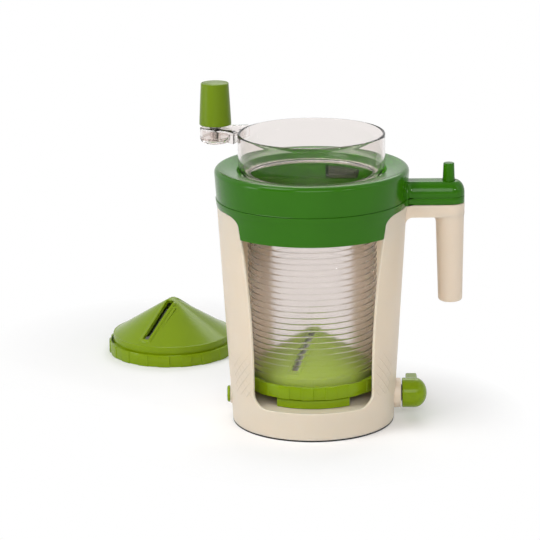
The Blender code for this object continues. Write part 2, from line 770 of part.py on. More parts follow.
def arm_cover(inset, root, low):
    """The arm's cover with its rounded top edge, drawn in by an inset on the sides and the top."""
    bend = ARM_COVER_ROUND - inset
    top = ARM_TOP - inset
    rows = [(low, 0.0)]
    for step in range(CORNER_STEPS + 1):
        angle = math.pi / 2 * step / CORNER_STEPS
        rows.append((top - bend * (1 - math.sin(angle)), bend * (1 - math.cos(angle))))
    sections = []
    for height, shrink in rows:
        outline = arm_outline(root, ARM_HALF_WIDTH - inset - shrink)
        sections.append([(x, y, height) for x, y in outline])
    return loft(sections)


def make_upper_ring():
    quarter = math.pi / 2
    crest = COLLAR_RADIUS + UPPER_FLARE
    edge = arc((crest - UPPER_ROUND, UPPER_TOP - UPPER_ROUND), UPPER_ROUND, 0.0, quarter, CORNER_STEPS)
    recess_outer = RECESS_RADIUS + COLLAR_WALL
    dish = UPPER_TOP - UPPER_DISH
    ring = turned(
        [(COLLAR_RADIUS, UPPER_LOW)]
        + edge
        + [
            (RECESS_RADIUS + GAP, dish),
            (RECESS_RADIUS, dish - GAP),
            (RECESS_RADIUS, NECK_SEAT),
            (BORE_RADIUS, NECK_SEAT),
            (BORE_RADIUS, UPPER_LOW),
            (SLEEVE_RADIUS, UPPER_LOW),
            (SLEEVE_RADIUS, NECK_SEAT - COLLAR_WALL),
            (recess_outer, NECK_SEAT - COLLAR_WALL),
            (recess_outer, dish - COLLAR_WALL),
            (crest - UPPER_ROUND, UPPER_TOP - COLLAR_WALL),
            (crest - COLLAR_WALL, UPPER_TOP - UPPER_ROUND),
            (COLLAR_RADIUS - COLLAR_WALL, UPPER_LOW),
        ]
    )
    cover = arm_cover(0.0, DRUM_RADIUS, UPPER_LOW + EMBED / 2)
    middle = COLLAR_RADIUS - COLLAR_WALL / 2
    cut(cover, rod(middle, UPPER_LOW - OVERRUN, UPPER_TOP, sides=ROUND_SIDES))
    join(ring, cover)
    cut(ring, arm_cover(ARM_WALL, BAND_OUTER + NUT_DEPTH / 2, UPPER_LOW - OVERRUN))

    pivot_place = (PIVOT_X, 0.0)
    join(ring, rod(PIVOT_BOSS_RADIUS, LEVER_TOP + GAP, ARM_TOP - EMBED, pivot_place))
    hole_top = ARM_TOP - ARM_WALL / 2
    cut(ring, rod(PIVOT_RADIUS + GAP, LEVER_TOP, hole_top, pivot_place))
    slot = capsule((PEG_X, -PEG_TRAVEL), (PEG_X, 0.0), PEG_LOW_RADIUS + GAP)
    cut(ring, prism(slot, LEVER_TOP, ARM_TOP + OVERRUN))

    nut_slot = sector(
        BORE_RADIUS - OVERRUN,
        SLEEVE_RADIUS + OVERRUN,
        turn_angle(NUT_TURN_SHARE - NUT_SLOT_SHARE / 2),
        turn_angle(NUT_TURN_SHARE + NUT_SLOT_SHARE / 2),
        UPPER_LOW - OVERRUN,
        NECK_SEAT - COLLAR_WALL + EMBED / 2,
        2 * CORNER_STEPS,
    )
    cut(ring, nut_slot)
    for place_of_screw in collar_screw_places():
        join(ring, rod(COLLAR_BOSS_RADIUS, UPPER_LOW, NECK_SEAT - COLLAR_WALL + EMBED, place_of_screw))
        hole_top = NECK_SEAT - COLLAR_WALL - EMBED
        cut(ring, rod(SCREW_RADIUS + GAP, UPPER_LOW - OVERRUN, hole_top, place_of_screw))
    place(ring, "upper_ring", "green_plastic")


def make_collar_fasteners():
    seat = COLLAR_LOW + SCREW_HEAD_HEIGHT + GAP
    length = NECK_SEAT - COLLAR_WALL - EMBED - GAP - seat
    screws = [
        screw(spot, seat, length, SCREW_RADIUS, SCREW_HEAD_RADIUS, SCREW_HEAD_HEIGHT)
        for spot in collar_screw_places()
    ]
    place_each(screws, "collar_screw", "steel")
    pin_low = COLLAR_SEAT + ARM_WALL + GAP
    pin_high = ARM_TOP - ARM_WALL / 2 - GAP
    place(rod(PIVOT_RADIUS, pin_low, pin_high, (PIVOT_X, 0.0), sides=PIN_SIDES), "pivot_pin", "steel")


# Half nut and release lever

def thread_height(along):
    """The height of the thread's ridge, a number of turns along it."""
    return DRUM_LOW + THREAD_START + THREAD_LEAD * along


def nut_tooth(low_turn):
    """One tooth of the half nut: a block that follows the valley between two turns of the thread."""
    sections = []
    start = NUT_TURN_SHARE - NUT_TOOTH_SHARE / 2
    for step in range(2 * CORNER_STEPS + 1):
        share = start + NUT_TOOTH_SHARE * step / (2 * CORNER_STEPS)
        middle = thread_height(low_turn + share) + THREAD_LEAD / 2
        tip = around(DRUM_RADIUS + NUT_TOOTH_TIP, turn_angle(share))
        root = around(NUT_INNER + OVERRUN, turn_angle(share))
        half = NUT_TOOTH_WIDTH / 2
        sections.append(
            [
                (*tip, middle - half),
                (*root, middle - half),
                (*root, middle + half),
                (*tip, middle + half),
            ]
        )
    return loft(sections)


def nut_screw_places():
    radius = (BAND_INNER + BAND_OUTER) / 2
    return [
        around(radius, turn_angle(NUT_TURN_SHARE + side * NUT_WIDTH_SHARE / 3)) for side in (-1, 1)
    ]


def make_half_nut(carrier):
    start = turn_angle(NUT_TURN_SHARE - NUT_WIDTH_SHARE / 2)
    end = turn_angle(NUT_TURN_SHARE + NUT_WIDTH_SHARE / 2)
    steps = 2 * CORNER_STEPS
    nut = sector(NUT_INNER, NUT_OUTER, start, end, LEVER_LOW, NUT_TOP, steps)
    tongue_low = LEVER_TOP + GAP
    tongue_high = tongue_low + NUT_TONGUE_HEIGHT
    start = turn_angle(NUT_TURN_SHARE - NUT_TONGUE_SHARE / 2)
    end = turn_angle(NUT_TURN_SHARE + NUT_TONGUE_SHARE / 2)
    join(nut, sector(NUT_OUTER - OVERRUN, BAND_OUTER, start, end, tongue_low, tongue_high, steps))
    for turn in range(THREAD_TURNS + 4):
        middle = thread_height(turn + NUT_TURN_SHARE) + THREAD_LEAD / 2
        if LEVER_LOW + NUT_TOOTH_WIDTH < middle < NUT_TOP - NUT_TOOTH_WIDTH / 2 - GAP:
            join(nut, nut_tooth(turn))
    for spot in nut_screw_places():
        cut(nut, rod(FINE_SCREW_RADIUS + GAP, LEVER_TOP, tongue_high + OVERRUN, spot, sides=PIN_SIDES))
    place(nut, "half_nut", "grey_nylon", carrier)

    seat = tongue_high + GAP
    screws = []
    for spot in nut_screw_places():
        screws.append(
            turned(
                [
                    (0.0, seat + FINE_HEAD_HEIGHT),
                    (FINE_HEAD_RADIUS, seat + FINE_HEAD_HEIGHT),
                    (FINE_HEAD_RADIUS, seat),
                    (FINE_SCREW_RADIUS, seat),
                    (FINE_SCREW_RADIUS, LEVER_LOW + LEVER_THICKNESS / 3),
                    (0.0, LEVER_LOW + LEVER_THICKNESS / 3),
                ],
                PIN_SIDES,
                spot,
            )
        )
    place_each(screws, "nut_screw", "steel", carrier)


def make_release_lever(carrier):
    end = NUT_TURN_SHARE + NUT_WIDTH_SHARE / 2
    band = sector(
        BAND_INNER,
        BAND_OUTER,
        turn_angle(-NUT_WIDTH_SHARE / 6),
        turn_angle(end),
        LEVER_LOW,
        LEVER_TOP,
        4 * CORNER_STEPS,
    )
    inner = (BAND_INNER + BAND_OUTER) / 2
    bar = prism(capsule((inner, 0.0), (PEG_X, 0.0), LEVER_HALF_WIDTH), LEVER_LOW, LEVER_TOP)
    peg_top = LEVER_LOW + PEG_HEIGHT
    peg = turned(
        [
            (0.0, LEVER_LOW),
            (PEG_LOW_RADIUS, LEVER_LOW),
            (PEG_LOW_RADIUS, ARM_TOP),
            (PEG_HIGH_RADIUS, peg_top - PEG_EDGE),
            (PEG_HIGH_RADIUS - PEG_EDGE, peg_top),
            (0.0, peg_top),
        ],
        SMALL_SIDES,
        (PEG_X, 0.0),
    )
    lever = join(bar, band, peg)
    cut(lever, rod(PIVOT_RADIUS + GAP, LEVER_LOW - OVERRUN, LEVER_TOP + OVERRUN, (PIVOT_X, 0.0)))
    for spot in nut_screw_places():
        low = LEVER_LOW + LEVER_THICKNESS / 3 - GAP
        cut(lever, rod(FINE_SCREW_RADIUS + GAP, low, LEVER_TOP + OVERRUN, spot, sides=PIN_SIDES))
    place(lever, "release_lever", "green_plastic", carrier)


def make_release_spring():
    """A coil between the lever's band and the collar's wall, lying along the nut's own direction."""
    angle = turn_angle(NUT_TURN_SHARE)
    outward = Vector((*around(1.0, angle), 0.0))
    sideways = Vector((*around(1.0, angle + math.pi / 2), 0.0))
    upward = Vector((0.0, 0.0, 1.0))
    middle = (LEVER_LOW + LEVER_TOP) / 2
    start = BAND_OUTER + SPRING_WIRE + GAP
    end = (COLLAR_RADIUS - COLLAR_WALL) * math.cos(math.pi / ROUND_SIDES) - SPRING_WIRE - GAP
    steps = SPRING_TURNS * SPRING_STEPS
    sections = []
    for step in range(steps + 1):
        turn = turn_angle(step / SPRING_STEPS)
        radial = sideways * math.cos(turn) + upward * math.sin(turn)
        centre = outward * (start + (end - start) * step / steps)
        centre += upward * middle + radial * SPRING_RADIUS
        section = []
        for side in range(SPRING_SIDES):
            u, v = around(SPRING_WIRE, turn_angle(side / SPRING_SIDES))
            section.append(centre + radial * u + outward * v)
        sections.append(section)
    place(loft(sections), "release_spring", "steel")


# Drum, cup and crank arm

def drum_column(share):
    """One upright outline of the threaded drum and its cup, a share of a turn round from +X."""
    ridges = []
    for turn in range(THREAD_TURNS + 1):
        along = turn + share
        rise = min(1.0, along / THREAD_RUNOUT_SHARE, (THREAD_TURNS - along) / THREAD_RUNOUT_SHARE)
        crest = DRUM_RADIUS + THREAD_HEIGHT * max(0.0, rise)
        middle = thread_height(along)
        ridges.append(
            [
                (DRUM_RADIUS, middle - THREAD_WIDTH / 2),
                (crest, middle),
                (DRUM_RADIUS, middle + THREAD_WIDTH / 2),
            ]
        )
    shoulder = []
    inner_shoulder = []
    for step in range(SHOULDER_STEPS + 1):
        angle = math.pi / 2 * step / SHOULDER_STEPS
        swell = math.sin(angle)
        climb = 1 - math.cos(angle)
        shoulder.append(
            (
                DRUM_RADIUS + (CUP_RADIUS - DRUM_RADIUS) * swell,
                NECK_HEIGHT + SHOULDER_HEIGHT * climb,
            )
        )
        inside = DRUM_RADIUS - DRUM_WALL
        inner_shoulder.append(
            (
                inside + (CUP_RADIUS - CUP_WALL - inside) * swell,
                NECK_HEIGHT + SHOULDER_WALL + (SHOULDER_HEIGHT - SHOULDER_WALL) * climb,
            )
        )
    rim = [(CUP_RADIUS, RIM_HEIGHT), (CUP_RADIUS - CUP_WALL, RIM_HEIGHT)]
    inner = list(reversed(inner_shoulder)) + [(DRUM_RADIUS - DRUM_WALL, DRUM_LOW)]
    return (DRUM_RADIUS, DRUM_LOW), ridges, shoulder + rim + inner


def threaded_drum():
    """The drum with its cup. Round the wrap, each turn of the thread meets the next one up."""
    form = bmesh.new()
    columns = []
    for step in range(DRUM_SIDES):
        share = step / DRUM_SIDES

        def vertex(point):
            return form.verts.new((*around(point[0], turn_angle(share)), point[1]))

        bottom, ridges, rest = drum_column(share)
        columns.append(
            (
                vertex(bottom),
                [[vertex(point) for point in ridge] for ridge in ridges],
                [vertex(point) for point in rest],
            )
        )

    def skin(left, right):
        for index in range(len(left) - 1):
            form.faces.new((left[index], right[index], right[index + 1], left[index + 1]))

    def fan(hub, rim):
        for first, second in zip(rim, rim[1:]):
            form.faces.new((hub, first, second))

    for step, (bottom, ridges, rest) in enumerate(columns):
        next_bottom, next_ridges, next_rest = columns[(step + 1) % DRUM_SIDES]
        if step < DRUM_SIDES - 1:
            left = [bottom] + sum(ridges, []) + rest
            right = [next_bottom] + sum(next_ridges, []) + next_rest
            skin(left, right)
        else:
            skin(sum(ridges[:-1], []), sum(next_ridges[1:], []))
            skin(rest, next_rest)
            fan(bottom, [next_bottom] + next_ridges[0] + [next_ridges[1][0], ridges[0][0]])
            top = [rest[0]] + list(reversed(ridges[-1])) + [ridges[-2][-1], next_ridges[-1][-1]]
            fan(next_rest[0], top)
        form.faces.new((rest[-1], next_rest[-1], next_bottom, bottom))
    return made(form)


def crank_frame():
    """The crank arm's own directions: outwards along the arm, sideways, up."""
    return Matrix.Rotation(turn_angle(CRANK_TURN_SHARE), 4, "Z")


def crank_outline(root, inset):
    """The crank arm in plan: wide at the cup and narrowing to its round boss."""
    radius = CRANK_BOSS_RADIUS - inset
    slope = (CRANK_ROOT_HALF_WIDTH - CRANK_BOSS_RADIUS) / (CRANK_REACH - DRUM_RADIUS)
    half = CRANK_BOSS_RADIUS + slope * (CRANK_REACH - root) - inset
    lean = math.pi / 2 - math.atan(slope)
    return [(root, -half)] + arc((CRANK_REACH, 0.0), radius, -lean, lean, 2 * CORNER_STEPS) + [(root, half)]


def make_drum(carrier):
    drum = threaded_drum()
    frame = crank_frame()
    low = CRANK_TOP - CRANK_DEPTH
    boss_low = CRANK_TOP - CRANK_BOSS_DEPTH
    knob_place = (CRANK_X, CRANK_Y)
    arm = prism(crank_outline(CUP_RADIUS - CUP_WALL / 2, 0.0), low, CRANK_TOP, frame)
    cavity = crank_outline(CUP_RADIUS + CRANK_WALL, CRANK_WALL)
    roof = CRANK_TOP - CRANK_WALL
    cut(arm, prism(cavity, low - OVERRUN, roof, frame))
    boss = rod(CRANK_BOSS_RADIUS - EMBED / 2, boss_low, CRANK_TOP - EMBED, knob_place, sides=GRIP_SIDES)
    join(arm, boss)
    hollow = CRANK_BOSS_RADIUS - CRANK_WALL - EMBED
    cut(arm, rod(hollow, boss_low - OVERRUN, roof - EMBED / 2, knob_place, sides=GRIP_SIDES))
    join(arm, rod(CRANK_POST_RADIUS, boss_low, CRANK_TOP - EMBED, knob_place))
    cut(arm, rod(KNOB_AXLE_RADIUS + GAP, boss_low + CRANK_WALL, CRANK_TOP + OVERRUN, knob_place))
    join(drum, arm)
    root = DRUM_RADIUS - DRUM_WALL / 2
    tip = DRUM_RADIUS + THREAD_HEIGHT
    for share in BAYONET_SHARES:
        start = turn_angle(share - LUG_WIDTH_SHARE / 2)
        end = turn_angle(share + LUG_WIDTH_SHARE / 2)
        join(drum, sector(root, tip, start, end, DRUM_LOW + GAP, DRUM_LOW + LUG_HEIGHT, CORNER_STEPS))
    place(drum, "drum", "clear_plastic", carrier)


def make_neck_ring(carrier):
    inner = DRUM_RADIUS + NECK_PLAY
    outer = inner + NECK_RING_WIDTH
    low = NECK_SEAT + GAP
    high = low + NECK_RING_HEIGHT
    ring = turned([(inner, low), (outer, low), (outer, high), (inner, high)])
    place(ring, "neck_ring", "clear_silicone", carrier)


def make_knob(drum_carrier, knob_carrier):
    spot = (CRANK_X, CRANK_Y)
    washer_low = CRANK_TOP + GAP
    bore = KNOB_AXLE_RADIUS + GAP
    washer = [
        (bore, washer_low),
        (WASHER_RADIUS, washer_low),
        (WASHER_RADIUS, washer_low + WASHER_HEIGHT),
        (bore, washer_low + WASHER_HEIGHT),
    ]
    place(turned(washer, SMALL_SIDES, spot), "knob_washer", "steel", drum_carrier)

    hollow = KNOB_HIGH_RADIUS - KNOB_CAP_LEDGE - KNOB_WALL
    ledge = KNOB_TOP - KNOB_CAP_HEIGHT - GAP
    cap_radius = KNOB_HIGH_RADIUS - KNOB_CAP_LEDGE
    knob = [
        (bore, KNOB_LOW),
        (KNOB_LOW_RADIUS - KNOB_EDGE, KNOB_LOW),
        (KNOB_LOW_RADIUS, KNOB_LOW + KNOB_EDGE),
        (KNOB_HIGH_RADIUS, KNOB_TOP - KNOB_EDGE / 2),
        (KNOB_HIGH_RADIUS - KNOB_EDGE / 2, KNOB_TOP),
        (cap_radius + GAP, KNOB_TOP),
        (cap_radius + GAP, ledge),
        (hollow, ledge),
        (hollow, KNOB_LOW + KNOB_FLOOR),
        (bore, KNOB_LOW + KNOB_FLOOR),
    ]
    place(turned(knob, GRIP_SIDES, spot), "crank_knob", "lime_plastic", knob_carrier)
    cap = rod(cap_radius, ledge + GAP, KNOB_TOP, spot, sides=GRIP_SIDES)
    place(cap, "knob_cap", "lime_plastic", knob_carrier)

    head_low = KNOB_LOW + KNOB_FLOOR + GAP
    tip = CRANK_TOP - CRANK_BOSS_DEPTH + CRANK_WALL + GAP
    axle = [
        (0.0, head_low + KNOB_HEAD_HEIGHT),
        (KNOB_HEAD_RADIUS, head_low + KNOB_HEAD_HEIGHT),
        (KNOB_HEAD_RADIUS, head_low),
        (KNOB_AXLE_RADIUS, head_low),
        (KNOB_AXLE_RADIUS, tip),
        (0.0, tip),
    ]
    place(turned(axle, SMALL_SIDES, spot), "knob_axle", "steel", drum_carrier)


# Cone inserts

def slot_frame(centre, apex, slope, share):
    """Directions of a cone's slot: down the slope, sideways, and out of the surface."""
    turn = Matrix.Rotation(turn_angle(share), 4, "Z")
    tilt = Matrix.Rotation(slope, 4, "Y")
    return Matrix.Translation((*centre, apex)) @ turn @ tilt


def insert_body(centre, low, rise):
    """The ring that takes the drum's end, with its gripping pads, and the cone on its floor."""
    floor = low + INSERT_FLOOR
    drop = CONE_WALL / math.cos(math.atan2(rise, CONE_RADIUS))
    tip = CONE_RADIUS * CONE_TIP_SHARE
    apex = floor + rise
    tip_height = floor + rise * (1 - CONE_TIP_SHARE)
    profile = [
        (RING_OUTER, low),
        (RING_OUTER, low + INSERT_RING_HEIGHT),
        (RING_INNER, low + INSERT_RING_HEIGHT),
        (RING_INNER, floor),
        (CONE_RADIUS, floor),
        (tip, tip_height),
        (0.0, apex - tip / 2),
        (0.0, apex - drop - tip / 2),
        (tip, tip_height - drop),
        (CONE_RADIUS - CONE_WALL, floor - drop + CONE_WALL * rise / CONE_RADIUS),
        (CONE_RADIUS - CONE_WALL, low),
    ]
    body = turned(profile, 2 * INSERT_PADS, centre)
    for vertex in body.data.vertices:
        offset = Vector((vertex.co.x - centre[0], vertex.co.y - centre[1]))
        step = round(math.atan2(offset.y, offset.x) / math.tau * 2 * INSERT_PADS)
        if offset.length > RING_OUTER - GAP and step % 2:
            offset *= (RING_OUTER + INSERT_PAD) / RING_OUTER
            vertex.co.x = centre[0] + offset.x
            vertex.co.y = centre[1] + offset.y
    return body


def make_insert(prefix, centre, low, rise, slot_share, carrier):
    body = insert_body(centre, low, rise)
    floor = low + INSERT_FLOOR
    slope = math.atan2(rise, CONE_RADIUS)
    top = low + INSERT_RING_HEIGHT
    for share in BAYONET_SHARES:
        start = turn_angle(share - TAB_WIDTH_SHARE / 2)
        end = turn_angle(share + TAB_WIDTH_SHARE / 2)
        inner = DRUM_RADIUS + TAB_PLAY
        tab = sector(inner, RING_INNER + EMBED, start, end, top - TAB_HEIGHT, top - GAP, CORNER_STEPS)
        tab.data.transform(Matrix.Translation((*centre, 0.0)))
        join(body, tab)

    blades = []
    screws = []
    seat_low = -(CONE_WALL + BLADE_SEAT)
    blade_top = seat_low - GAP
    blade_low = blade_top - BLADE_THICKNESS
    slot_half = SLOT_WIDTH / 2
    run = SLOT_START + SLOT_LENGTH
    slot_boxes = []
    for side in range(2):
        frame = slot_frame(centre, floor + rise, slope, slot_share + side / 2)
        frame = frame @ Matrix.Translation((0.0, SLOT_OFFSET, 0.0))
        core = CONE_RADIUS - EMBED
        inner_cone = turned(
            [(0.0, low), (core, low), (core, floor), (0.0, floor + rise - EMBED)],
            2 * INSERT_PADS,
            centre,
        )
        seat = box((BLADE_START - EMBED, 0.0, seat_low), (run - OVERRUN, BLADE_SEAT_WIDTH, 0.0), frame)
        join(body, keep(seat, inner_cone))
        lip_rise = SLOT_LIP / math.cos(slope)
        outer_cone = turned(
            [(0.0, floor + EMBED), (CONE_RADIUS, floor + EMBED), (0.0, floor + rise + lip_rise)],
            2 * INSERT_PADS,
            centre,
        )
        lip_near = (SLOT_START + EMBED, slot_half / 2, -CONE_WALL / 2)
        lip_far = (run - EMBED, slot_half + SLOT_LIP_WIDTH, SLOT_LIP)
        lip = box(lip_near, lip_far, frame)
        join(body, keep(lip, outer_cone))
        slot_boxes.append(box((SLOT_START, -slot_half, 2 * seat_low), (run, slot_half, 2 * SLOT_LIP), frame))

        blade = box(
            (BLADE_START, -BLADE_EDGE, blade_low),
            (BLADE_START + BLADE_LENGTH, BLADE_WIDTH, blade_top),
            frame,
        )
        screw_side = (slot_half + BLADE_WIDTH) / 2
        for along in (BLADE_START + BLADE_SCREW_INSET, BLADE_START + BLADE_LENGTH - BLADE_SCREW_INSET):
            spot = (along, screw_side)
            hole_top = -CONE_WALL
            hole = rod(FINE_SCREW_RADIUS + GAP, blade_low - OVERRUN, hole_top, spot, frame, PIN_SIDES)
            cut(blade, hole)
            hole = rod(FINE_SCREW_RADIUS + GAP, blade_low - OVERRUN, hole_top, spot, frame, PIN_SIDES)
            cut(body, hole)
            head_top = blade_low - GAP
            head = turned(
                [
                    (0.0, head_top - FINE_HEAD_HEIGHT),
                    (FINE_HEAD_RADIUS, head_top - FINE_HEAD_HEIGHT),
                    (FINE_HEAD_RADIUS, head_top),
                    (FINE_SCREW_RADIUS, head_top),
                    (FINE_SCREW_RADIUS, hole_top - GAP),
                    (0.0, hole_top - GAP),
                ],
                PIN_SIDES,
                spot,
            )
            head.data.transform(frame)
            screws.append(head)
        blades.append(blade)
    cut(body, *slot_boxes)
    place(body, prefix + "_cone", "lime_plastic", carrier)
    place_each(blades, prefix + "_blade", "steel", carrier)
    place_each(screws, prefix + "_blade_screw", "steel", carrier)


# Prong plate

def make_prong_plate():
    low = AXLE_HEIGHT + TUNNEL_RADIUS + GAP
    inner = PEDESTAL_RADIUS + GAP
    roof_low = PEDESTAL_TOP + GAP
    roof_top = roof_low + HUB_ROOF
    hub = turned(
        [
            (inner, low),
            (inner + HUB_WALL, low),
            (inner + HUB_WALL, roof_top),
            (0.0, roof_top),
            (0.0, roof_low),
            (inner, roof_low),
        ],
        GRIP_SIDES,
    )
    half = math.asin(LIP_HALF_WIDTH / LIP_RADIUS)
    front = -math.pi / 2
    reach = LIP_RADIUS - LIP_THICKNESS / 2
    side = half * (1 - LIP_THICKNESS / LIP_HALF_WIDTH)
    outline = arc((0.0, 0.0), reach, front - side, front + side, 2 * CORNER_STEPS)
    outline += [(inner + HUB_WALL / 2, 0.0), (-inner - HUB_WALL / 2, 0.0)]
    tongue_top = TONGUE_TOP - EMBED / 2
    tongue = prism(outline, TONGUE_TOP - TONGUE_THICKNESS, tongue_top)
    core_low = TONGUE_TOP - 2 * TONGUE_THICKNESS
    cut(tongue, rod(inner + HUB_WALL / 2, core_low, TONGUE_TOP, sides=GRIP_SIDES))
    lip_inner = LIP_RADIUS - LIP_THICKNESS
    lip_low = FLOOR_TOP + GAP
    lip = sector(lip_inner, LIP_RADIUS, front - half, front + half, lip_low, TONGUE_TOP, 2 * CORNER_STEPS)
    plate = join(hub, tongue, lip)
    prongs = []
    spots = [(0.0, 0.0)]
    spots += [around(PRONG_CIRCLE, turn_angle(step / PRONG_COUNT)) for step in range(PRONG_COUNT)]
    for spot in spots:
        foot = roof_top - PRONG_DEPTH
        cut(plate, rod(PRONG_RADIUS + GAP, foot, roof_top + OVERRUN, spot, sides=PIN_SIDES))
        tip = roof_top + PRONG_HEIGHT
        profile = [
            (0.0, foot + GAP),
            (PRONG_RADIUS, foot + GAP),
            (PRONG_RADIUS, tip - 2 * PRONG_RADIUS),
            (0.0, tip),
        ]
        prongs.append(turned(profile, PIN_SIDES, spot))
    place(plate, "prong_plate", "lime_plastic")
    place_each(prongs, "prong", "steel")


# Suction foot

def make_suction_pad():
    rim_outer = PAD_RADIUS - PAD_RIM_INSET
    rim_inner = rim_outer - PAD_RIM_WIDTH
    pocket = BUTTON_RADIUS + GAP
    button_top = PAD_SKIN + GAP + BUTTON_HEIGHT + GAP
    pad = turned(
        [
            (0.0, 0.0),
            (PAD_RADIUS, 0.0),
            (PAD_RADIUS, PAD_EDGE),
            (rim_outer, PAD_EDGE),
            (rim_outer, PAD_RIM_HEIGHT),
            (rim_inner, PAD_RIM_HEIGHT),
            (rim_inner, PAD_MEMBRANE),
            (pocket + PAD_BOSS_WALL, PAD_MEMBRANE),
            (pocket + PAD_BOSS_WALL, button_top + PAD_LIP),
            (STEM_RADIUS + GAP, button_top + PAD_LIP),
            (STEM_RADIUS + GAP, button_top),
            (pocket, button_top),
            (pocket, PAD_SKIN),
            (0.0, PAD_SKIN),
        ]
    )
    place(pad, "suction_pad", "black_rubber")


def make_bottom_cover():
    inner = BUTTON_RADIUS + GAP + PAD_BOSS_WALL + COVER_HOLE_PLAY
    outer = housing_radius(COVER_TOP) - HOUSING_WALL - COVER_INSET
    cover = turned([(inner, COVER_BOTTOM), (outer, COVER_BOTTOM), (outer, COVER_TOP), (inner, COVER_TOP)])
    screws = []
    seat = COVER_BOTTOM - GAP
    for spot in cover_screw_places():
        cut(cover, rod(SCREW_RADIUS + GAP, COVER_BOTTOM - OVERRUN, COVER_TOP + OVERRUN, spot))
        length = COVER_TOP + COVER_SCREW_DEPTH - seat
        screws.append(screw(spot, seat, length, SCREW_RADIUS, SCREW_HEAD_RADIUS, SCREW_HEAD_HEIGHT))
    place(cover, "bottom_cover", "cream_plastic")
    place_each(screws, "cover_screw", "steel")


def make_cup_stem(carrier):
    button_low = PAD_SKIN + GAP
    button_top = button_low + BUTTON_HEIGHT
    outer_half = YOKE_INNER_HALF + YOKE_BAR
    outer_low = YOKE_INNER_LOW - YOKE_BAR
    outer_top = YOKE_INNER_TOP + YOKE_BAR
    yoke = box((-outer_half, outer_low, -YOKE_HALF_WIDTH), (outer_half, outer_top, YOKE_HALF_WIDTH), SIDE)
    reach = YOKE_HALF_WIDTH + OVERRUN
    cut(yoke, box((-YOKE_INNER_HALF, YOKE_INNER_LOW, -reach), (YOKE_INNER_HALF, YOKE_INNER_TOP, reach), SIDE))
    stem = turned(
        [
            (0.0, button_low),
            (BUTTON_RADIUS, button_low),
            (BUTTON_RADIUS, button_top),
            (STEM_RADIUS - EMBED / 2, button_top),
            (STEM_RADIUS - EMBED / 2, outer_low + EMBED),
            (0.0, outer_low + EMBED),
        ],
        GRIP_SIDES,
    )
    place(join(yoke, stem), "cup_stem", "grey_nylon", carrier)


def make_lift_cam(carrier):
    """A cam whose reach upwards grows evenly with the lever's turn, from the base to the full lift."""
    quarter = math.pi / 2
    growth = CUP_LIFT / quarter
    margin = turn_angle(CAM_MARGIN_SHARE)
    points = arc((0.0, 0.0), CAM_BASE, 0.0, math.tau, GRIP_SIDES)[:-1]
    steps = 6 * CORNER_STEPS
    for step in range(steps + 1):
        angle = -margin + (quarter + margin) * step / steps
        reach = CAM_BASE + growth * (quarter - angle)
        normal = around(reach, angle)
        along = around(-growth, angle + quarter)
        points.append((normal[0] + along[0], normal[1] + along[1]))
    form = bmesh.new()
    for x in (-CAM_HALF_WIDTH, CAM_HALF_WIDTH):
        for y, z in points:
            form.verts.new((x, y, AXLE_HEIGHT + z))
    hull = bmesh.ops.convex_hull(form, input=form.verts)
    loose = [item for item in hull["geom_interior"] if isinstance(item, bmesh.types.BMVert)]
    bmesh.ops.delete(form, geom=loose, context="VERTS")
    cam = made(form)
    reach = CAM_HALF_WIDTH + OVERRUN
    cut(cam, rod(AXLE_RADIUS + GAP, -reach, reach, (0.0, AXLE_HEIGHT), SIDE))
    place(cam, "lift_cam", "grey_nylon", carrier)


def make_axle_pieces(carrier):
    centre = (0.0, AXLE_HEIGHT)
    bore = AXLE_RADIUS + GAP
    flange = BUSH_RADIUS + BUSH_FLANGE_WIDTH
    right = rod(BUSH_RADIUS, BUSH_INNER, BOSS_FACE + GAP + EMBED / 2, centre, SIDE)
    join(right, rod(flange, BOSS_FACE + GAP, BOSS_FACE + GAP + BUSH_FLANGE, centre, SIDE))
    cut(right, rod(bore, BUSH_INNER - OVERRUN, BOSS_FACE + 2 * OVERRUN, centre, SIDE))
    left = rod(BUSH_RADIUS, CAP_FACE + GAP, -BUSH_INNER, centre, SIDE)
    cut(left, rod(bore, CAP_FACE - OVERRUN, OVERRUN - BUSH_INNER, centre, SIDE))
    place(right, "right_bush", "grey_nylon")
    place(left, "left_bush", "grey_nylon")

    axle_left = CAP_FACE - GAP - AXLE_CAP_SOCKET
    axle_right = DOME_START + LEVER_SOCKET
    axle = rod(AXLE_RADIUS, axle_left, axle_right, centre, SIDE)
    place(axle, "lever_axle", "steel", carrier)

    cap_right = CAP_FACE - GAP
    cap_left = cap_right - AXLE_CAP_LENGTH
    cap = rod(AXLE_CAP_RADIUS, cap_left, cap_right, centre, SIDE, GRIP_SIDES)
    cut(cap, rod(bore, axle_left - GAP, cap_right + OVERRUN, centre, SIDE))
    place(cap, "axle_cap", "lime_plastic", carrier)


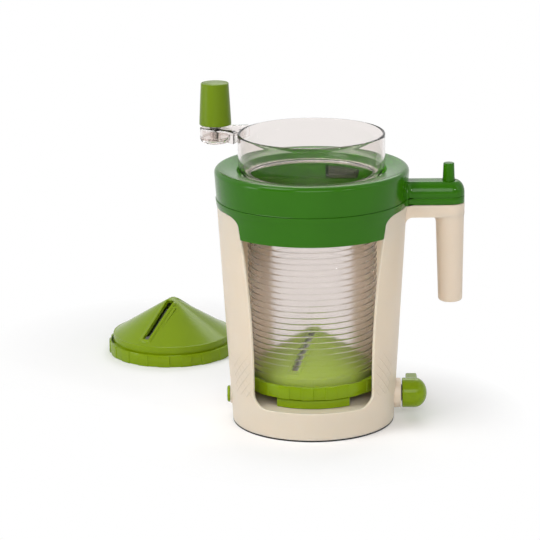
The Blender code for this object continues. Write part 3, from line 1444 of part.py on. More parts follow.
def make_suction_lever(carrier):
    """A dome on the axle's end with a flat arm that lies backwards along the housing."""
    tip = DOME_START + LEVER_DOME_LENGTH
    straight = DOME_START + LEVER_DOME_STRAIGHT
    profile = [(0.0, DOME_START), (LEVER_DOME_RADIUS, DOME_START)]
    for step in range(2 * CORNER_STEPS + 1):
        angle = math.pi / 2 * step / (2 * CORNER_STEPS)
        radius = LEVER_DOME_RADIUS * math.cos(angle) if step < 2 * CORNER_STEPS else 0.0
        profile.append((radius, straight + (tip - straight) * math.sin(angle)))
    lever = turned(profile, GRIP_SIDES)
    lever.data.transform(Matrix.Translation((0.0, 0.0, AXLE_HEIGHT)) @ SIDE)
    bend = LEVER_ARM_HALF_HEIGHT
    quarter = math.pi / 2
    outline = [(0.0, -bend)]
    outline += arc((LEVER_ARM_LENGTH - bend, 0.0), bend, -quarter, quarter, 2 * CORNER_STEPS)
    outline.append((0.0, bend))
    outline = [(y, AXLE_HEIGHT + z) for y, z in outline]
    start = DOME_START + LEVER_ARM_START
    join(lever, prism(outline, start, start + LEVER_ARM_WIDTH, SIDE))
    socket = DOME_START + LEVER_SOCKET + GAP
    cut(lever, rod(AXLE_RADIUS + GAP, DOME_START - OVERRUN, socket, (0.0, AXLE_HEIGHT), SIDE))
    place(lever, "suction_lever", "lime_plastic", carrier)


def main():
    for item in list(bpy.data.objects):
        bpy.data.objects.remove(item)
    drum_axis = pivot("drum_axis", Vector((0.0, 0.0, NECK_SEAT)))
    knob_axis = pivot("knob_axis", Vector((CRANK_X, CRANK_Y, KNOB_LOW)))
    release_axis = pivot("release_axis", Vector((PIVOT_X, 0.0, LEVER_LOW)))
    axle_axis = pivot("axle_axis", Vector((0.0, 0.0, AXLE_HEIGHT)))
    stem_axis = pivot("stem_axis", Vector((0.0, 0.0, 0.0)))
    spare_place = pivot("spare_place", Vector((SPARE_X, SPARE_Y, 0.0)))

    make_housing()
    make_lower_collar()
    make_upper_ring()
    make_collar_fasteners()
    make_half_nut(release_axis)
    make_release_lever(release_axis)
    make_release_spring()
    make_drum(drum_axis)
    make_neck_ring(drum_axis)
    make_knob(drum_axis, knob_axis)
    make_insert("insert", (0.0, 0.0), INSERT_LOW, INSERT_CONE_RISE, INSERT_SLOT_TURN_SHARE, drum_axis)
    make_insert("spare", (SPARE_X, SPARE_Y), 0.0, SPARE_CONE_RISE, SPARE_SLOT_TURN_SHARE, spare_place)
    make_prong_plate()
    make_suction_pad()
    make_bottom_cover()
    make_cup_stem(stem_axis)
    make_lift_cam(axle_axis)
    make_axle_pieces(axle_axis)
    make_suction_lever(axle_axis)


main()
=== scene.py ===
"""The visible surfaces, finishes and studio of a hand cranked spiralizer.

Each surface is a grid of points worked out with numpy. Lengths are metres in the frame's own
coordinates: +Z is up, the front window faces -Y and the handle is at +X.
"""

import math

import bmesh
import bpy
import numpy as np
from mathutils import Matrix, Vector


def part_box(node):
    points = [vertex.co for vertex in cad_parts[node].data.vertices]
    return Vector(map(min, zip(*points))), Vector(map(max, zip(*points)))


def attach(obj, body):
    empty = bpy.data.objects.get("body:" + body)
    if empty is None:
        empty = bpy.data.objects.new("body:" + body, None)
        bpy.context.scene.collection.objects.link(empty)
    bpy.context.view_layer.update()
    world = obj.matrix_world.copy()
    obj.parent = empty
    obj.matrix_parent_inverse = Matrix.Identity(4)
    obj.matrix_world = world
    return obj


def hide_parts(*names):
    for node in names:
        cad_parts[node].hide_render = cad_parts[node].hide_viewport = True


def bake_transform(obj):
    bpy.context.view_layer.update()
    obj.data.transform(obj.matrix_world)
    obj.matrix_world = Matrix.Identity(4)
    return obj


bl_info = {
    "name": "Spiralizer surfaces",
    "version": (1, 0, 0),
    "blender": (4, 5, 0),
    "location": "View3D > Sidebar > Spiralizer",
    "description": "Builds the smooth surfaces, finishes and studio of a spiralizer around its frame",
    "category": "Object",
}

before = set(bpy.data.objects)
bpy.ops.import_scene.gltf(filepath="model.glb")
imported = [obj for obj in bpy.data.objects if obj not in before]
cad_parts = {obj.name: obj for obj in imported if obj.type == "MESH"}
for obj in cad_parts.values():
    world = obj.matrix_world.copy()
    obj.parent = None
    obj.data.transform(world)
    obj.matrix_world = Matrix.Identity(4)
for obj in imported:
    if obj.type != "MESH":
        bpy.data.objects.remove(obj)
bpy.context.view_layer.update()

TURN = 2 * np.pi
QUARTER = np.pi / 2
FRONT = -QUARTER
MM = 0.001
WELD = 0.000002

# Housing
BASE_RADIUS = 0.0780
TAPER = 0.0585
WALL = 0.0026
WALL_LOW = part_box("housing")[0].z
HOUSING_TOP = 0.2140
FLOOR_TOP = 0.0280
FLOOR_LOW = 0.0255
SILL = 0.0285
WINDOW_HALF = 0.0574
WINDOW_FLARE = 0.0132
FLARE_START = 0.0570
WINDOW_CORNER = 0.0130
POST_CORNER = 0.0110
HUB_RADIUS = 0.0152
HUB_TOP = 0.0352
COVER_SCREWS = 0.060
REAR_HALF = 0.0420
REAR_LOW = 0.0450
REAR_HIGH = 0.1850
REAR_CORNER = 0.0120
SEAM_ANGLE = math.radians(120)
SKIRT_SWELL = 0.2060

# Handle
ARM_LOW = 0.2023
ARM_HALF = 0.0140
ARM_END = 0.13142
GRIP_LOW = 0.1173
GRIP_LOW_RADIUS = 0.01155
GRIP_TOP_RADIUS = 0.0136
GRIP_LEAN = 0.0009
FILLET = 0.0072

# Collar
SKIRT_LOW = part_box("lower_collar")[0].z
COLLAR_SEAT = 0.2143
COLLAR_TOP = 0.22105
COLLAR_RADIUS = 0.09183
UPPER_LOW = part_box("upper_ring")[0].z
UPPER_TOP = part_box("upper_ring")[1].z
ARM_TOP = 0.2360
BORE = 0.0646
SLEEVE = 0.0670
TROUGH = 0.0840
RECESS = 0.0710
NECK_SEAT = 0.2386
NUT_ANGLE = math.radians(60.6)
NUT_SLOT = math.radians(34)

# Release lever
LEVER_LOW = 0.22355
LEVER_TOP = 0.22855
LEVER_MIDDLE = (LEVER_LOW + LEVER_TOP) / 2
PIVOT_X = 0.09703
PEG_X = 0.1302
PEG_RADIUS = 0.0060
PEG_TRAVEL = 0.0026
PEG_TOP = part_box("release_lever")[1].z
BAND_INNER = 0.0733
BAND_OUTER = 0.0793
COIL_RADIUS = 0.0021
COIL_WIRE = 0.0004
COIL_NEAR = 0.0800
COIL_FAR = 0.0886
COIL_TURNS = 5

# Arm cover
COVER_BEND = 0.0085
COVER_FALL = 0.0120
COVER_INSET = 0.0046
COVER_WALL = 0.0016
SLOT_ROOM = 0.0110

# Drum
DRUM_RADIUS = 0.0610
DRUM_INNER = 0.0588
DRUM_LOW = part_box("drum")[0].z
THREAD_START = 0.05356
LEAD = 0.00585
TURNS = 30
NECK = 0.2416
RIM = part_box("drum")[1].z
CUP_RADIUS = 0.0700
CUP_INNER = 0.0675
SHOULDER = 0.0134
LUG_REACH = 0.0632
LUG_LOW = 0.0453
LUG_HIGH = 0.0476
CRANK_TOP = 0.2822
CRANK_ANGLE = math.radians(161)
CRANK_REACH = 0.0972
CRANK_RADIUS = 0.0148
CRANK_SPOT = (CRANK_REACH * math.cos(CRANK_ANGLE), CRANK_REACH * math.sin(CRANK_ANGLE))
KNOB_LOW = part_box("crank_knob")[0].z
KNOB_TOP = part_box("crank_knob")[1].z

# Inserts
RING_INNER = 0.0648
RING_OUTER = 0.0664
PAD_RISE = 0.0008
PADS = 18
CONE_RADIUS = 0.0575
RING_HEIGHT = 0.0130
RING_FLOOR = 0.0072
BAYONET_ANGLES = np.radians([90, 210, 330])
RING_ROOT = 0.0553
CONE_WALL = 0.0022
CONE_BLUNT = 0.0020
INSERT_TIP = 0.0935
INSERT_SLOPE = 0.66
INSERT_FOOT = 0.0576
INSERT_TURN = math.radians(247)
SPARE_CENTRE = (-0.1485, 0.2290)
SPARE_TIP = 0.0585
SPARE_SLOPE = 0.62
SPARE_FOOT = 0.0622
SPARE_TURN = math.radians(240)
SLOT_START = 0.0075
SLOT_NEAR = -0.0012
SLOT_FAR = 0.0056
BLADE_START = 0.0140
BLADE_END = 0.0540
BLADE_SCREWS = (0.0200, 0.0480)
SCREW_ASIDE = 0.0062
LIP_HEIGHT = 0.0015
LIP_WIDTH = 0.0022
LIP_FADE = 0.0016

# Foot
AXLE_HEIGHT = 0.0240
DOME_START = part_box("suction_lever")[0].x
DOME_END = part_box("suction_lever")[1].x
DOME_STRAIGHT = 0.0985
DOME_RADIUS = 0.0144
TAB_HALF = math.asin(0.0345 / 0.0640)
BOSS_FACE = 0.0850
CAP_FACE = -0.0804
PAD_RADIUS = 0.0780
LEVER_START = 0.0912
LEVER_WIDTH = 0.0110
LEVER_REACH = 0.0495
LEVER_BEND = 0.0055


# Surfaces

def grid(points, round_rows=False, round_columns=False, hole=None):
    """Quads between neighbours of a grid of points, joined round if asked, less the quads of a hole."""
    rows, columns = points.shape[:2]
    index = np.arange(rows * columns).reshape(rows, columns)
    if round_rows:
        index = np.vstack([index, index[:1]])
    if round_columns:
        index = np.hstack([index, index[:, :1]])
    quads = np.stack([index[:-1, :-1], index[:-1, 1:], index[1:, 1:], index[1:, :-1]], -1)
    if hole is not None:
        quads = quads[~hole]
    return points.reshape(-1, 3), quads.reshape(-1, 4)


def stacked(points):
    """A closed body from a stack of closed loops, each end drawn in to its loop's middle."""
    ends = [np.broadcast_to(points[end].mean(axis=0), points[end].shape) for end in (0, -1)]
    return grid(np.stack([ends[0], *points, ends[1]]), round_columns=True)


def rounded(outline, radius, steps=4):
    """A closed outline with each corner drawn round: a parabola from one side to the next."""
    outline = np.asarray(outline, float)
    before = np.roll(outline, 1, axis=0) - outline
    after = np.roll(outline, -1, axis=0) - outline
    length = np.minimum(np.linalg.norm(before, axis=1), np.linalg.norm(after, axis=1))
    before /= np.linalg.norm(before, axis=1)[:, None]
    after /= np.linalg.norm(after, axis=1)[:, None]
    half = np.arccos(np.clip((before * after).sum(axis=1), -1, 1)) / 2
    reach = np.minimum(np.broadcast_to(radius, half.shape) / np.tan(half), 0.48 * length)[:, None]
    t = np.linspace(0, 1, steps + 1)[None, :, None]
    start = (outline + before * reach)[:, None]
    end = (outline + after * reach)[:, None]
    curve = start * (1 - t) ** 2 + 2 * outline[:, None] * t * (1 - t) + end * t ** 2
    return curve.reshape(-1, 2)


def bar(near, far, low, high, edge, steps=4):
    """A rectangle from near to far and from low to high as a profile, with its corners drawn round."""
    return rounded([(near, low), (far, low), (far, high), (near, high)], edge, steps)


def levelled(outline, level):
    """Points with a level put after their own coordinates, such as (x, y, level)."""
    return np.c_[outline, np.full(len(outline), level)]


def resampled(line, count):
    """A line's points spread evenly along its length."""
    step = np.r_[0, np.cumsum(np.linalg.norm(np.diff(line, axis=0), axis=1))]
    at = np.linspace(0, step[-1], count)
    return np.stack([np.interp(at, step, line[:, axis]) for axis in range(line.shape[1])], -1)


def ellipse_arc(centre, radii, start, end, steps):
    """Points centre + (a cos t, b sin t) of an arc, both ends included."""
    t = np.linspace(start, end, steps + 1)
    return np.stack([centre[0] + radii[0] * np.cos(t), centre[1] + radii[1] * np.sin(t)], -1)


def strip(first, second, closed=False):
    """A strip of quads between two lines of points."""
    return grid(np.stack([first, second]), round_columns=closed)


def shared(first, second, count):
    """Rows of points spread evenly from one line to another."""
    share = np.linspace(0, 1, count)[:, None, None]
    return first * (1 - share) + second * share


def swept(r, angle, z, centre=(0.0, 0.0)):
    """Points round an upright line: (x, y) = centre + r (cos a, sin a) at height z."""
    x = centre[0] + r * np.cos(angle)
    y = centre[1] + r * np.sin(angle)
    return np.stack([x, y, z + 0 * x], -1)


def turned(profile, sides=144, centre=(0.0, 0.0)):
    """A profile (r, z) turned all the way about an upright line."""
    profile = np.asarray(profile, float)
    angle = np.arange(sides) * TURN / sides
    return grid(swept(profile[:, :1], angle, profile[:, 1:], centre), round_rows=True, round_columns=True)


def sector(profile, start, end, sides, centre=(0.0, 0.0)):
    """A profile (r, z) turned only from one angle to another, its ends closed by loops drawn to a point."""
    profile = np.asarray(profile, float)
    angle = np.linspace(start, end, sides + 1)[:, None]
    return stacked(swept(profile[:, 0], angle, profile[:, 1], centre))


def laid(surface, matrix):
    """A surface carried by a matrix."""
    points, quads = surface
    matrix = np.array(matrix)
    return points @ matrix[:3, :3].T + matrix[:3, 3], quads


def lying(surface):
    """A surface turned about the upright laid along +X through the lever's axle."""
    along = Matrix(((0, 0, 1, 0), (1, 0, 0, 0), (0, 1, 0, AXLE_HEIGHT), (0, 0, 0, 1)))
    return laid(surface, along)


def capsule(start, end, radius):
    """The outline of a bar with round ends between two points along X or Y."""
    heading = math.atan2(end[1] - start[1], end[0] - start[0])
    far = ellipse_arc(end, (radius, radius), heading - QUARTER, heading + QUARTER, 16)
    near = ellipse_arc(start, (radius, radius), heading + QUARTER, heading + 3 * QUARTER, 16)
    return np.vstack([far, near])


def plate(outline_at, low, high, edge, steps=4):
    """A flat plate with round edges: outline_at(inset) at each level, inset along a quarter circle."""
    t = np.linspace(0, QUARTER, steps + 1)
    insets = edge * (1 - np.sin(t))
    levels = np.r_[low + edge * (1 - np.cos(t)), high - edge * (1 - np.cos(t[::-1]))]
    outlines = [outline_at(inset) for inset in np.r_[insets, insets[::-1]]]
    return stacked(np.stack([levelled(*pair) for pair in zip(outlines, levels)]))


def block(lows, highs, edge, matrix):
    """A block between its lowest and highest corners with round upright edges, carried by a matrix."""
    outline = bar(lows[0], highs[0], lows[1], highs[1], edge)
    return laid(stacked(np.stack([levelled(outline, level) for level in (lows[2], highs[2])])), matrix)


def piece(name, surfaces, material, body, nodes, sharp=40, closed=True):
    """Join surfaces into one mesh, weld it, face it outwards if it is closed, and hang it on its body."""
    points = np.vstack([surface[0] for surface in surfaces])
    starts = np.cumsum([0] + [len(surface[0]) for surface in surfaces[:-1]])
    quads = np.vstack([surface[1] + start for surface, start in zip(surfaces, starts)])
    mesh = bpy.data.meshes.new(name)
    mesh.vertices.add(len(points))
    mesh.vertices.foreach_set("co", points.astype(np.float32).ravel())
    mesh.loops.add(quads.size)
    mesh.loops.foreach_set("vertex_index", quads.astype(np.int32).ravel())
    mesh.polygons.add(len(quads))
    mesh.polygons.foreach_set("loop_start", np.arange(0, quads.size, 4, dtype=np.int32))
    mesh.update(calc_edges=True)
    form = bmesh.new()
    form.from_mesh(mesh)
    bmesh.ops.remove_doubles(form, verts=form.verts, dist=WELD)
    if closed:
        bmesh.ops.recalc_face_normals(form, faces=form.faces)
    form.to_mesh(mesh)
    form.free()
    mesh.shade_smooth()
    mesh.set_sharp_from_angle(angle=math.radians(sharp))
    made = bpy.data.objects.new(name, mesh)
    bpy.context.scene.collection.objects.link(made)
    mesh.materials.append(finish(material))
    if body:
        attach(made, body)
    if nodes:
        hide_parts(*nodes)
    return made


# Shader maths

# The Mix node's sockets for colours
MIX_FIRST, MIX_SECOND, MIX_RESULT = 6, 7, 2


class Value:
    """A number that varies over a surface: Python's operators add Math nodes."""

    def __init__(self, tree, socket):
        self.tree = tree
        self.socket = socket

    def maths(self, operation, *others):
        """A Math node on this value and others."""
        return self.tree.node("ShaderNodeMath", {"operation": operation}, [self, *others])

    def __add__(self, other):
        return self.maths("ADD", other)

    __radd__ = __add__

    def __sub__(self, other):
        return self.maths("SUBTRACT", other)

    def __rsub__(self, other):
        return self.tree.node("ShaderNodeMath", {"operation": "SUBTRACT"}, [other, self])

    def __mul__(self, other):
        return self.maths("MULTIPLY", other)

    __rmul__ = __mul__

    def __pow__(self, other):
        return self.maths("POWER", other)

    def __abs__(self):
        return self.maths("ABSOLUTE")

    def sine(self):
        """The sine of an angle in radians."""
        return self.maths("SINE")

    def smaller(self, other):
        """The smaller of two values."""
        return self.maths("MINIMUM", other)

    def larger(self, other):
        """The larger of two values."""
        return self.maths("MAXIMUM", other)

    def above(self, edge, width):
        """0 below the edge and 1 above it, straight between over a width."""
        span = {"From Min": edge - width / 2, "From Max": edge + width / 2}
        return self.tree.node("ShaderNodeMapRange", {}, {"Value": self, **span})


class Tree:
    """The nodes of a material or a world, whose own shader is there from the start."""

    def __init__(self, owner, shader="Principled BSDF", output="Material Output"):
        owner.use_nodes = True
        self.owner = owner
        self.nodes = owner.node_tree.nodes
        self.links = owner.node_tree.links
        self.shader = self.nodes[shader]
        self.output = self.nodes[output]

    def node(self, kind, settings, inputs, output=0):
        """Add a node: its settings first, then its sockets' numbers or links, by name or in order."""
        made = self.nodes.new(kind)
        for name, value in settings.items():
            setattr(made, name, value)
        pairs = inputs.items() if isinstance(inputs, dict) else enumerate(inputs)
        for name, value in pairs:
            self.join(made.inputs[name], value)
        return Value(self, made.outputs[output])

    def join(self, socket, value):
        """Link a value to a socket, or set the socket to a plain number or colour."""
        if isinstance(value, Value):
            self.links.new(value.socket, socket)
        else:
            socket.default_value = value

    def split(self, value):
        """The X, Y and Z of a vector."""
        outputs = self.node("ShaderNodeSeparateXYZ", {}, [value]).socket.node.outputs
        return [Value(self, socket) for socket in outputs]

    def ray(self, kind):
        """1 for a ray of a kind, such as Is Camera Ray, and else 0."""
        return self.node("ShaderNodeLightPath", {}, {}, output=kind)

    def place(self):
        """The piece's own coordinates."""
        return self.node("ShaderNodeTexCoord", {}, {}, output="Object")

    def noise(self, size, detail=3.0, stretch=(1.0, 1.0, 1.0)):
        """Noise whose features are about a size across, drawn out by a stretch."""
        scale = tuple(1 / share for share in stretch)
        scaled = self.node("ShaderNodeMapping", {}, {"Vector": self.place(), "Scale": scale})
        return self.node("ShaderNodeTexNoise", {}, {"Vector": scaled, "Scale": 1 / size, "Detail": detail})

    def blend(self, share, first, second):
        """One colour at share 0 and another at share 1."""
        colours = {MIX_FIRST: (*first, 1.0), MIX_SECOND: (*second, 1.0)}
        return self.node("ShaderNodeMix", {"data_type": "RGBA"}, {"Factor": share, **colours}, MIX_RESULT)

    def tone(self, size, detail, colour, darker, lighter):
        """A colour that drifts between a darker and a lighter share of itself."""
        colour = np.array(colour)
        return self.blend(self.noise(size, detail), colour * darker, np.minimum(colour * lighter, 1.0))

    def bump(self, height, distance, strength):
        """Raise the surface by a height in shares of a distance."""
        inputs = {"Height": height, "Distance": distance, "Strength": strength}
        self.join(self.shader.inputs["Normal"], self.node("ShaderNodeBump", {}, inputs))

    def set(self, **sockets):
        """Set or link the shader's sockets, named with _ for a space."""
        for name, value in sockets.items():
            self.join(self.shader.inputs[name.replace("_", " ")], value)

    def mixed(self, share, first, second):
        """One shader at share 0 and another at share 1."""
        return self.node("ShaderNodeMixShader", {}, [share, first, second])

    def own(self):
        """The tree's own shader, to be mixed with another."""
        return Value(self, self.shader.outputs[0])

    def show(self, shader):
        """Send a mixed shader to the output."""
        self.join(self.output.inputs["Surface"], shader)


def translucent(tree, share, radius):
    """Let light into the plastic: a share of it, to a depth for each of red, green and blue."""
    tree.set(Subsurface_Weight=share, Subsurface_Radius=radius, Subsurface_Scale=1.0)


def cream_plastic(name, settings, share):
    """Fine-grained cream plastic: faint mottling, a grained skin, and a pressed lattice low on the posts.

    The lattice is two sets of lines, |sin(pi (s + z) / pitch)| and |sin(pi (s - z) / pitch)| near nought,
    with s the way round the wall."""
    tree = Tree(bpy.data.materials.new(name))
    tree.set(
        Base_Color=tree.tone(0.035, 2.0, settings.cream, 0.985, 1.01),
        Roughness=0.40 + 0.10 * tree.noise(0.012),
        Coat_Weight=0.10,
        Coat_Roughness=0.30,
    )
    translucent(tree, share, (0.0085, 0.0070, 0.0058))
    x, y, z = tree.split(tree.place())
    around = x.maths("ARCTAN2", 0.0 - y) * BASE_RADIUS
    turn = np.pi / settings.lattice_pitch
    first, second = (abs((way * turn).sine()) for way in (around + z, around - z))
    ridges = 1.0 - first.smaller(second).above(0.14, 0.20)
    band = z.above(0.036, 0.004) * (1.0 - z.above(0.076, 0.020)) * (0.0 - y).above(0.020, 0.004)
    posts = abs(around).above(0.062, 0.003) * (1.0 - abs(around).above(0.092, 0.003))
    tree.bump(ridges * band * posts + 0.07 * tree.noise(0.0007, 2.0), 0.00090, 0.85)
    return tree.owner


def gloss_plastic(name, colour, roughness, share=0.08):
    """Glossy moulded plastic: a slow change of tone, faint waves in the gloss, and fine handling marks."""
    tree = Tree(bpy.data.materials.new(name))
    marks = tree.noise(0.006, 4.0, (1.0, 1.0, 4.0))
    tree.set(
        Base_Color=tree.tone(0.05, 2.0, colour, 0.90, 1.08),
        Roughness=roughness - 0.04 + 0.08 * marks,
        Specular_IOR_Level=0.20,
    )
    translucent(tree, share, (0.003, 0.004, 0.001))
    tree.bump(tree.noise(0.02, 2.0) + 0.05 * tree.noise(0.001, 2.0), 0.00018, 0.35)
    return tree.owner


def clear_plastic(name, colour, roughness, haze):
    """Clear moulded plastic with a thin haze and faint flow waves. Lamps shine through it.

    Below the collar the drum's inner face is slightly frosted, and its tube has a thin warm veil: partly the
    plastic's own haze, partly painted light that stands in for the lit housing wall seen through the drum."""
    tree = Tree(bpy.data.materials.new(name))
    colour = np.array(colour)
    x, y, z = tree.split(tree.place())
    away = (x * x + y * y) ** 0.5
    below = 1.0 - z.above(NECK - 0.060, 0.030)
    inside = (1.0 - away.above((DRUM_INNER + DRUM_RADIUS) / 2, 0.0004)) * below
    tube = (1.0 - away.above(0.0640, 0.0010)) * below
    tree.set(
        Base_Color=(*colour ** 2, 1.0),
        Roughness=roughness + 0.01 * tree.noise(0.03, 2.0) + 0.26 * inside,
        Transmission_Weight=1.0 - haze,
        IOR=1.25,
    )
    tree.bump(tree.noise(0.03, 1.0, (1.0, 1.0, 3.0)), 0.0001, 0.20)
    # The veil: a faint warm diffuse layer over the drum's tube, partly the plastic's haze and partly painted
    # light for the lit housing wall behind the drum.
    veil = tree.node("ShaderNodeBsdfDiffuse", {}, {"Color": (0.80, 0.76, 0.71, 1.0)})
    through = tree.node("ShaderNodeBsdfTransparent", {}, {"Color": (*colour ** 0.25, 1.0)})
    tree.show(tree.mixed(tree.ray("Is Shadow Ray"), tree.mixed(0.033 * tube, tree.own(), veil), through))
    return tree.owner


def soft_plastic(name, colour, roughness, grain, distance):
    """Plain moulded nylon or rubber with an even grain and a faint mottling."""
    tree = Tree(bpy.data.materials.new(name))
    tree.set(
        Base_Color=tree.tone(0.01, 3.0, colour, 0.9, 1.1),
        Roughness=roughness - 0.05 + 0.10 * tree.noise(0.004),
    )
    tree.bump(tree.noise(grain, 2.0), distance, 0.5)
    return tree.owner


def ground_steel(name, roughness):
    """Ground steel: fine lines along X in its roughness and its surface."""
    tree = Tree(bpy.data.materials.new(name))
    lines = tree.noise(0.0006, 2.0, (20.0, 1.0, 1.0))
    tree.set(
        Base_Color=tree.blend(lines, (0.56, 0.56, 0.55), (0.68, 0.68, 0.67)),
        Roughness=roughness + 0.12 * lines,
        Metallic=1.0,
    )
    tree.bump(lines, 0.00004, 0.4)
    return tree.owner


FINISHES = {
    "cream_plastic": lambda name, settings: cream_plastic(name, settings, 0.30),
    "cream_shell": lambda name, settings: cream_plastic(name, settings, 0.60),
    "green_plastic": lambda name, settings: gloss_plastic(name, settings.green, 0.17, 0.05),
    "lime_plastic": lambda name, settings: gloss_plastic(name, settings.lime, 0.22),
    # The knob's finish is the lime darkened by about a quarter: painted shade for its upright sides, which
    # the lamps from above light less.
    "knob_plastic": lambda name, settings: gloss_plastic(name, settings.knob, 0.32),
    "clear_plastic": lambda name, settings: clear_plastic(name, settings.clear, 0.0, 0.003),
    # The seal's haze of 0.25 makes it whitish: partly the silicone's own milkiness, partly a painted
    # highlight for the bright arc along its edge.
    "clear_silicone": lambda name, settings: clear_plastic(name, settings.clear, 0.04, 0.25),
    "grey_nylon": lambda name, settings: soft_plastic(name, (0.052, 0.072, 0.036), 0.45, 0.0008, 0.00008),
    "black_rubber": lambda name, settings: soft_plastic(name, (0.012, 0.012, 0.012), 0.65, 0.0006, 0.0001),
    "steel": lambda name, settings: ground_steel(name, settings.steel_roughness),
}


MADE = {}


def finish(name):
    """The material of a name, made from the panel's colours the first time it is asked for."""
    if name not in MADE:
        MADE[name] = FINISHES[name](name, bpy.context.scene.spiralizer_finish)
    return MADE[name]


def dressed(material, *nodes):
    """Give the frame's own nodes a material: each node of a name, or of a name and a number."""
    for name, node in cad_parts.items():
        if name.rstrip("0123456789_") in nodes:
            node.data.materials.clear()
            node.data.materials.append(finish(material))


# Housing

def housing_radius(z):
    """The wall's outer radius at a height: base + taper z."""
    return BASE_RADIUS + TAPER * z


def wall_points(angle, z, depth=0.0):
    """The wall's outer face: r = base + taper z, at an angle from the front, less a depth."""
    r = housing_radius(z) - depth
    return np.stack([r * np.sin(angle), -r * np.cos(angle), z], -1)


def unrolled(line):
    """Points (x, z) seen from the front as points (angle, z) of the wall, with angle = asin(x / r)."""
    return np.c_[np.arcsin(line[:, 0] / housing_radius(line[:, 1])), line[:, 1]]


def window_half(z):
    """The window's half width: even low down, then growing with the square of the height."""
    rise = np.maximum(0, z - FLARE_START) / (HOUSING_TOP - FLARE_START)
    return WINDOW_HALF + WINDOW_FLARE * rise ** 2


def window_line(inset=0.0, side_low=None):
    """The right half of the front window's outline, from the sill's middle up to the post's top."""
    bend = (WINDOW_HALF - WINDOW_CORNER, SILL + WINDOW_CORNER)
    low = ellipse_arc(bend, (WINDOW_CORNER, WINDOW_CORNER), -QUARTER, 0.0, 16)
    z = np.linspace(bend[1], HOUSING_TOP - POST_CORNER, 60)
    if side_low is not None:
        z = np.linspace(side_low, HOUSING_TOP - POST_CORNER, 20)
    side = np.stack([window_half(z) - inset, z], -1)
    corner = (side[-1, 0] + inset + POST_CORNER, HOUSING_TOP - POST_CORNER)
    round_top = ellipse_arc(corner, (POST_CORNER + inset, POST_CORNER + inset), np.pi, QUARTER, 16)
    if side_low is not None:
        return np.vstack([side, round_top[1:]])
    return np.vstack([[(0.0, SILL)], low, side[1:], round_top[1:]])


def seam_heights():
    """The heights of the rows along the seams between the front and the rear wall."""
    return np.linspace(WALL_LOW, HOUSING_TOP, 56)


def front_wall():
    """The wall beside the front window, shared out between the window's line and the bottom and seams."""
    seam = seam_heights()
    low = np.linspace(0, SEAM_ANGLE, 49)[:-1]
    outer = np.vstack([levelled(low, WALL_LOW), np.c_[np.full(len(seam), SEAM_ANGLE), seam]])
    flat = shared(unrolled(resampled(window_line(), len(outer))), outer, 29)
    right = wall_points(flat[..., 0], flat[..., 1])
    left = wall_points(-flat[..., 0], flat[..., 1])
    return [grid(right), grid(left[:, ::-1])]


def rear_wall():
    """The wall round the rear window, shared out between the window's line and the wall's edges."""
    seam = seam_heights()
    quarter = ellipse_arc((0, 0), (REAR_CORNER, REAR_CORNER), 0, QUARTER, 16)
    high = (REAR_HALF - REAR_CORNER, REAR_HIGH - REAR_CORNER)
    low = (REAR_HALF - REAR_CORNER, REAR_LOW + REAR_CORNER)
    upper = quarter + high
    lower = quarter[::-1] * (1, -1) + low
    side = resampled(np.vstack([lower[8:], upper[:9]]), len(seam))
    top = resampled(np.vstack([upper[8:], upper[8:][::-1] * (-1, 1)]), 41)
    bottom = resampled(np.vstack([lower[:9][::-1] * (1, 1), lower[:9] * (-1, 1)]), 41)
    half = np.pi - SEAM_ANGLE
    sweep = np.linspace(half, -half, 41)
    loops = (
        (side, np.c_[np.full(len(seam), half), seam]),
        (top, levelled(sweep, HOUSING_TOP)),
        (side[::-1] * (-1, 1), np.c_[np.full(len(seam), -half), seam[::-1]]),
        (bottom[::-1], levelled(-sweep, WALL_LOW)),
    )
    fields = [shared(unrolled(inner), outer, 15) for inner, outer in loops]
    return [grid(wall_points(np.pi - flat[..., 0], flat[..., 1])) for flat in fields]


def thicken(shape, thickness, edge):
    """Give an open shell its wall inwards and round its free edges."""
    wall = shape.modifiers.new("wall", "SOLIDIFY")
    wall.thickness = thickness
    wall.offset = -1.0
    wall.use_even_offset = True
    soft = shape.modifiers.new("edge", "BEVEL")
    soft.width = edge
    soft.segments = 3
    soft.limit_method = "ANGLE"
    soft.angle_limit = math.radians(50)
    soft.harden_normals = False


def face_outwards(shape):
    """Turn an open shell's faces so that they point away from the upright axis."""
    form = bmesh.new()
    form.from_mesh(shape.data)
    bmesh.ops.recalc_face_normals(form, faces=form.faces)
    outward = sum(f.normal.dot(Vector((*f.calc_center_median().xy, 0.0))) for f in form.faces)
    if outward < 0:
        bmesh.ops.reverse_faces(form, faces=form.faces)
    form.to_mesh(shape.data)
    form.free()


def arm_bar():
    """The cream arm: sections of a flat bar along X, thicker by a quarter round next to the wall."""
    root = housing_radius(ARM_LOW) - 0.004
    straight = np.r_[np.linspace(root, root + 0.012, 13), np.linspace(root + 0.013, ARM_END, 20)]
    turn = np.linspace(0, QUARTER, 25)[1:]
    x = np.r_[straight, ARM_END + ARM_HALF * np.sin(turn)]
    half = np.r_[np.full(len(straight), ARM_HALF), ARM_HALF * np.cos(turn)]
    near = np.clip(1 - (x - housing_radius(ARM_LOW) + 0.0012) / FILLET, 0, 1)
    low = ARM_LOW - FILLET * (1 - np.sqrt(1 - near ** 2))
    section = bar(-1, 1, 0, 1, 0.0001, 1)
    side = section[:, 0] * np.maximum(half, MM * 0.01)[:, None]
    height = low[:, None] + (HOUSING_TOP - low)[:, None] * section[:, 1]
    points = np.stack([x[:, None] + 0 * side, side, height], -1)
    return stacked(points)


